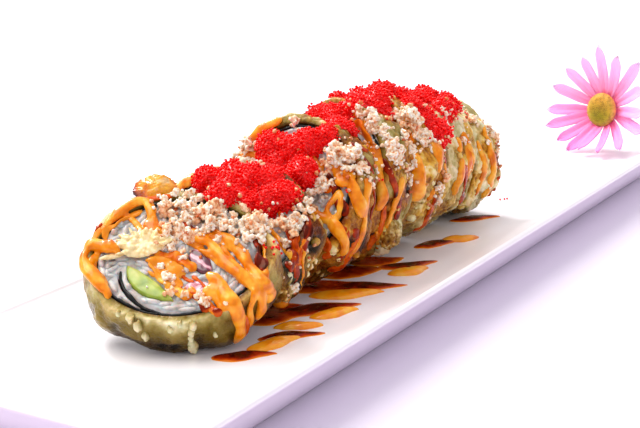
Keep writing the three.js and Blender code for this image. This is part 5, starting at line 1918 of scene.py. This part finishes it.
# %% Small bits of crumb
def bit_shape():
    bm = bmesh.new()
    bmesh.ops.create_icosphere(bm, subdivisions=2, radius=1)
    for corner in bm.verts:
        corner.co *= 1 + 0.6 * noise.noise(corner.co * 1.7)
    return mesh_of(bm, "bit")


bit_places = []
for spot in loose_spots():
    for _ in range(8):
        hit, way, _, _ = dressed.find_nearest(spot + Vector(rng.normal(0, 3.2, 3)))
        size = rng.uniform(0.3, 0.85)
        bit_places.append(placed(hit + way * size * 0.6, rng.normal(size=3), (0.2, 1, 0.3), (size, size * 0.8, size * 0.7)))
bits = repeated(bit_shape(), bit_places, "bits")
painted(bits, "crag", np.repeat(rng.uniform(0.2, 0.85, len(bit_places)), 42))
piece(bits, "loose_bits", crumb_finish)

# %% Loose eggs
STRAYS = [
    (0, 27.2, 3.5, 13.5, 14), (1, 14.9, -4.6, 14, 3), (3, 20.1, 3.3, 20, 2), (3, 22.5, 2.3, 20, 2),
    (2, 21.9, -0.1, 16, 2), (2, 19.9, 2.4, 16, 3), (1, 8.8, 5, 14, 5), (2, 2.5, 5.1, 16, 6), (2, 19.3, 16.4, 16, 6),
    (4, 22.1, 9.3, 14.6, 6), (4, 15.3, 14.4, 22, 6), (3, 6.4, 16.6, 20, 6), (2, 12.6, 6.9, 16, 8),
    (1, -12, 9, 14, 8), (1, 16, 8, 14, 8), (0, 6, 17, 13.5, 8), (0, 14, 14, 13.5, 6), (2, -12, 10, 16, 5),
    (5, 16, 14, 12, 6), (3, 14, 20, 14, 8), (6, 10, 17, 14, 5),
]
PLATE_EGGS = [(63, -20), (64.2, -20.6), (61.5, -18.8)]
stray_places = []
for index, across, up, out, count in STRAYS:
    spot = slices[index].matrix @ Vector((across, up, out))
    for _ in range(count):
        hit, way, _, _ = dressed.find_nearest(spot + Vector(rng.normal(0, 1.5, 3)))
        stray_places.append(placed(hit + way * EGG * 0.6, rng.normal(size=3), (0.3, 0.5, 0.8), [EGG] * 3))
for x, y in PLATE_EGGS:
    stray_places.append(placed((x, y, WELL_FLOOR + EGG), (1, 0, 0), (0, 1, 0), [EGG] * 3))
piece(repeated(egg, stray_places, "eggs"), "loose_eggs", roe_finish)

# %% [markdown]
# The flower is a pink daisy laid against the plate with its face to the row. A petal is a narrow strip
# with two grooves and a blunt, notched tip, bent up from the hub. Every petal is the same small grid,
# turned, cupped and stretched a little differently. The eye is a low button covered with tiny florets.

# %% Flower frame
FLOWER_AT = Vector((168.5, -23, 33.4))
FLOWER_FACES = Vector((-0.956, 0.256, 0.145)).normalized()
PETALS = 16
PETAL_LONG = 24
PETAL_WIDE = 5.2
PETAL_THICK = 0.45
PETAL_CUP = 20
PETAL_SPLAY = 30
HUB_RADIUS = 7.2
EYE_RADIUS = 7.6
STEM_RADIUS = 1.4
flower_side = Vector((0, 0, 1)).cross(FLOWER_FACES).normalized()
flower_up = FLOWER_FACES.cross(flower_side)
flower_turn = Matrix((flower_side, flower_up, FLOWER_FACES)).transposed().to_4x4()
flower_turn.translation = FLOWER_AT


# %% Petals
def petal(heading, cup, long, seed):
    bm = bmesh.new()
    bmesh.ops.create_grid(bm, x_segments=10, y_segments=26, size=1)
    for corner in bm.verts:
        across = corner.co.x
        part = (corner.co.y + 1) / 2
        width = 0.4 + 0.6 * min(part / 0.45, 1) if part < 0.85 else 0.97 - 0.75 * ((part - 0.85) / 0.15) ** 2
        width *= 1 - 0.05 * part
        notch = 0.03 * math.cos(across * math.tau * 1.5) * max(0, part - 0.85) / 0.15
        reach = part - 0.05 * across ** 2 * part - notch
        along = HUB_RADIUS * 0.6 + reach * long * math.cos(cup)
        lift = reach * long * math.sin(cup) * (0.55 + 0.45 * part)
        groove = 0.5 * across ** 2 - 0.22 * math.cos(across * math.tau * 0.9) * math.sin(math.pi * min(part * 1.2, 1))
        twist = 0.6 * across * math.sin(part * 2 + seed) * part
        corner.co = (PETAL_WIDE / 2 * width * across, -along, lift + groove + twist)
    bmesh.ops.recalc_face_normals(bm, faces=bm.faces)
    mesh = modified(mesh_of(bm, "petal"), "SOLIDIFY", thickness=PETAL_THICK, offset=0)
    raw = points_of(mesh)
    painted(mesh, "out", np.clip((-raw[:, 1] - HUB_RADIUS * 0.6) / long, 0, 1))
    painted(mesh, "across", raw[:, 0] / PETAL_WIDE + 0.5)
    mesh.transform(flower_turn @ Matrix.Rotation(heading, 4, "Z"))
    return mesh


def petal_ring():
    draw = seeded(5)
    meshes = []
    for count in range(PETALS):
        heading = (count + 0.35 * draw()) / PETALS * math.tau
        low = max(0, math.cos(heading))
        cup = math.radians(PETAL_CUP + (draw() - 0.5) * 14 + PETAL_SPLAY * low * low)
        long = PETAL_LONG * (0.88 + 0.2 * draw())
        meshes.append(petal(heading, cup, long, count))
    bm = bmesh.new()
    bmesh.ops.create_cone(
        bm, cap_ends=True, cap_tris=False, segments=24, radius1=HUB_RADIUS * 0.8, radius2=HUB_RADIUS, depth=2.4
    )
    bmesh.ops.bevel(
        bm, geom=bm.edges[:], offset=0.4, offset_type="OFFSET", affect="EDGES", segments=2, profile=0.5, material=-1
    )
    hub = mesh_of(bm, "hub")
    painted(hub, "out", np.zeros(len(hub.vertices)))
    painted(hub, "across", np.full(len(hub.vertices), 0.5))
    hub.transform(flower_turn)
    mesh = joined(meshes + [hub], "petals")
    points = points_of(mesh)
    points[:, 2] = np.maximum(points[:, 2], WELL_FLOOR + GAP)
    move_points(mesh, points)
    return mesh


def pink_petal():
    soft = {"Subsurface Weight": 0.4, "Subsurface Scale": 0.004, "Sheen Weight": 0.08, "Specular IOR Level": 0.25}
    finish, tree, shader, place = new_finish("pink_petal", 0.55, soft)
    body = ramp(tree, kept(tree, "out"), [
        (0.0, srgb(240, 112, 140)),
        (0.25, srgb(252, 156, 198)),
        (0.6, srgb(253, 190, 234)),
        (1.0, srgb(246, 208, 250)),
    ])
    veins = tree.nodes.new("ShaderNodeMath")
    veins.operation = "SINE"
    tree.links.new(between(tree, kept(tree, "across"), 0, 1, 0, 50), veins.inputs[0])
    shade = between(tree, veins.outputs["Value"], -1, 1, 0, 0.35)
    streaked = blended(tree, shade, body, srgb(228, 130, 198))
    # Painted shade: low on the flower, near the plate, the petals are multiplied towards a deeper pink.
    level = tree.nodes.new("ShaderNodeSeparateXYZ")
    tree.links.new(place, level.inputs["Vector"])
    low = between(tree, level.outputs["Z"], 0.014, 0.042, 0.85, 0)
    low_petal_shade = blended(tree, 1.0, streaked, srgb(255, 176, 226), "MULTIPLY")
    tree.links.new(blended(tree, low, streaked, low_petal_shade), shader.inputs["Base Color"])
    raised(tree, shader, veins.outputs["Value"], 0.06, 0.4)
    return finish


piece(petal_ring(), "daisy_petals", pink_petal(), ["flower_petals"])


# %% Eye and stem
def eye_mesh():
    bm = bmesh.new()
    profile = [(0.05, 0), (0.8, 0), (0.93, 0.6), (1, 1.4), (0.95, 2.2), (0.8, 3), (0.55, 3.5), (0.3, 3.75), (0.05, 3.8)]
    steps = 40
    rings = [
        [(math.cos(i / steps * math.tau) * EYE_RADIUS * part, math.sin(i / steps * math.tau) * EYE_RADIUS * part, z)
         for i in range(steps)]
        for part, z in profile
    ]
    loft(bm, rings)
    face_out(bm)
    bmesh.ops.translate(bm, verts=bm.verts, vec=(0, 0, 1.2 + GAP))
    dome = mesh_of(bm, "dome")
    painted(dome, "out", np.hypot(*points_of(dome)[:, :2].T) / EYE_RADIUS)
    places = []
    florets = 260
    for count in range(florets):
        far = math.sqrt((count + 0.5) / florets)
        angle = count * 2.39996
        spot = Vector((math.cos(angle) * far, math.sin(angle) * far, 0)) * (EYE_RADIUS * 0.93)
        spot.z = 1.2 + GAP + 3.7 - 1.9 * far ** 3
        tilt = Vector((spot.x * 0.12, spot.y * 0.12, 1))
        places.append(placed(spot, tilt, (0, 1, 0), (0.75, 0.4, 0.4)))
    heads = repeated(egg, places, "florets")
    painted(heads, "out", np.hypot(*points_of(heads)[:, :2].T) / EYE_RADIUS)
    mesh = joined([dome, heads], "eye")
    mesh.transform(flower_turn)
    return mesh


def stem_mesh():
    start = -1.2 - GAP
    bm = bmesh.new()
    path = [(0, 0, start - 3), (0, 0, start - 11), (1, -1, start - 20), (2, -0.6, start - 30)]
    rings = []
    cup = [(HUB_RADIUS * 0.72, start - 0.1), (HUB_RADIUS * 0.75, start - 0.6), (HUB_RADIUS * 0.66, start - 1.6),
           (HUB_RADIUS * 0.45, start - 2.9), (STEM_RADIUS * 1.35, start - 4.4)]
    steps = 20
    for radius, z in cup:
        rings.append([(math.cos(i / steps * math.tau) * radius, math.sin(i / steps * math.tau) * radius, z) for i in range(steps)])
    stations = 26
    for count in range(stations + 1):
        centre = smooth_line(path, 0.12 + 0.88 * count / stations)
        radius = STEM_RADIUS * (1 + 0.05 * math.sin(count * 1.7))
        rings.append([
            (centre.x + math.cos(i / steps * math.tau) * radius, centre.y + math.sin(i / steps * math.tau) * radius, centre.z)
            for i in range(steps)
        ])
    loft(bm, rings)
    face_out(bm)
    mesh = mesh_of(bm, "stem")
    mesh.transform(flower_turn)
    return mesh


def floret():
    finish, tree, shader, place = new_finish("floret", 0.7, {"Subsurface Weight": 0.2, "Subsurface Scale": 0.002})
    tone = ramp(tree, kept(tree, "out"), [
        (0.0, srgb(150, 150, 6)),
        (0.45, srgb(172, 160, 14)),
        (0.75, srgb(214, 186, 50)),
        (1.0, srgb(248, 160, 110)),
    ])
    mottle = ramp(tree, speckle(tree, place, 1.5, 2, 0.6), [(0.35, srgb(196, 190, 160)), (0.6, srgb(255, 255, 255))])
    level = tree.nodes.new("ShaderNodeSeparateXYZ")
    tree.links.new(place, level.inputs["Vector"])
    young = between(tree, level.outputs["Z"], 0.031, 0.039, 0, 0.8)
    green = between(tree, level.outputs["Z"], 0.026, 0.034, 0.75, 0)
    head = blended(tree, green, blended(tree, young, tone, srgb(240, 176, 70)), srgb(134, 140, 0))
    tree.links.new(blended(tree, 0.8, head, mottle, "MULTIPLY"), shader.inputs["Base Color"])
    raised(tree, shader, speckle(tree, place, 0.5, 2, 0.6), 0.1, 0.6)
    return finish


def green_stem():
    finish, tree, shader, place = new_finish("green_stem", 0.55, {"Subsurface Weight": 0.15, "Subsurface Scale": 0.002})
    tone = ramp(tree, speckle(tree, place, 4, 3, 0.6), [(0.3, srgb(104, 128, 96)), (0.7, srgb(160, 178, 150))])
    tree.links.new(tone, shader.inputs["Base Color"])
    raised(tree, shader, speckle(tree, place, 0.5, 3, 0.6), 0.08, 0.6)
    return finish


piece(eye_mesh(), "daisy_eye", floret(), ["flower_eye"])
piece(stem_mesh(), "daisy_stem", green_stem(), ["flower_stem"])
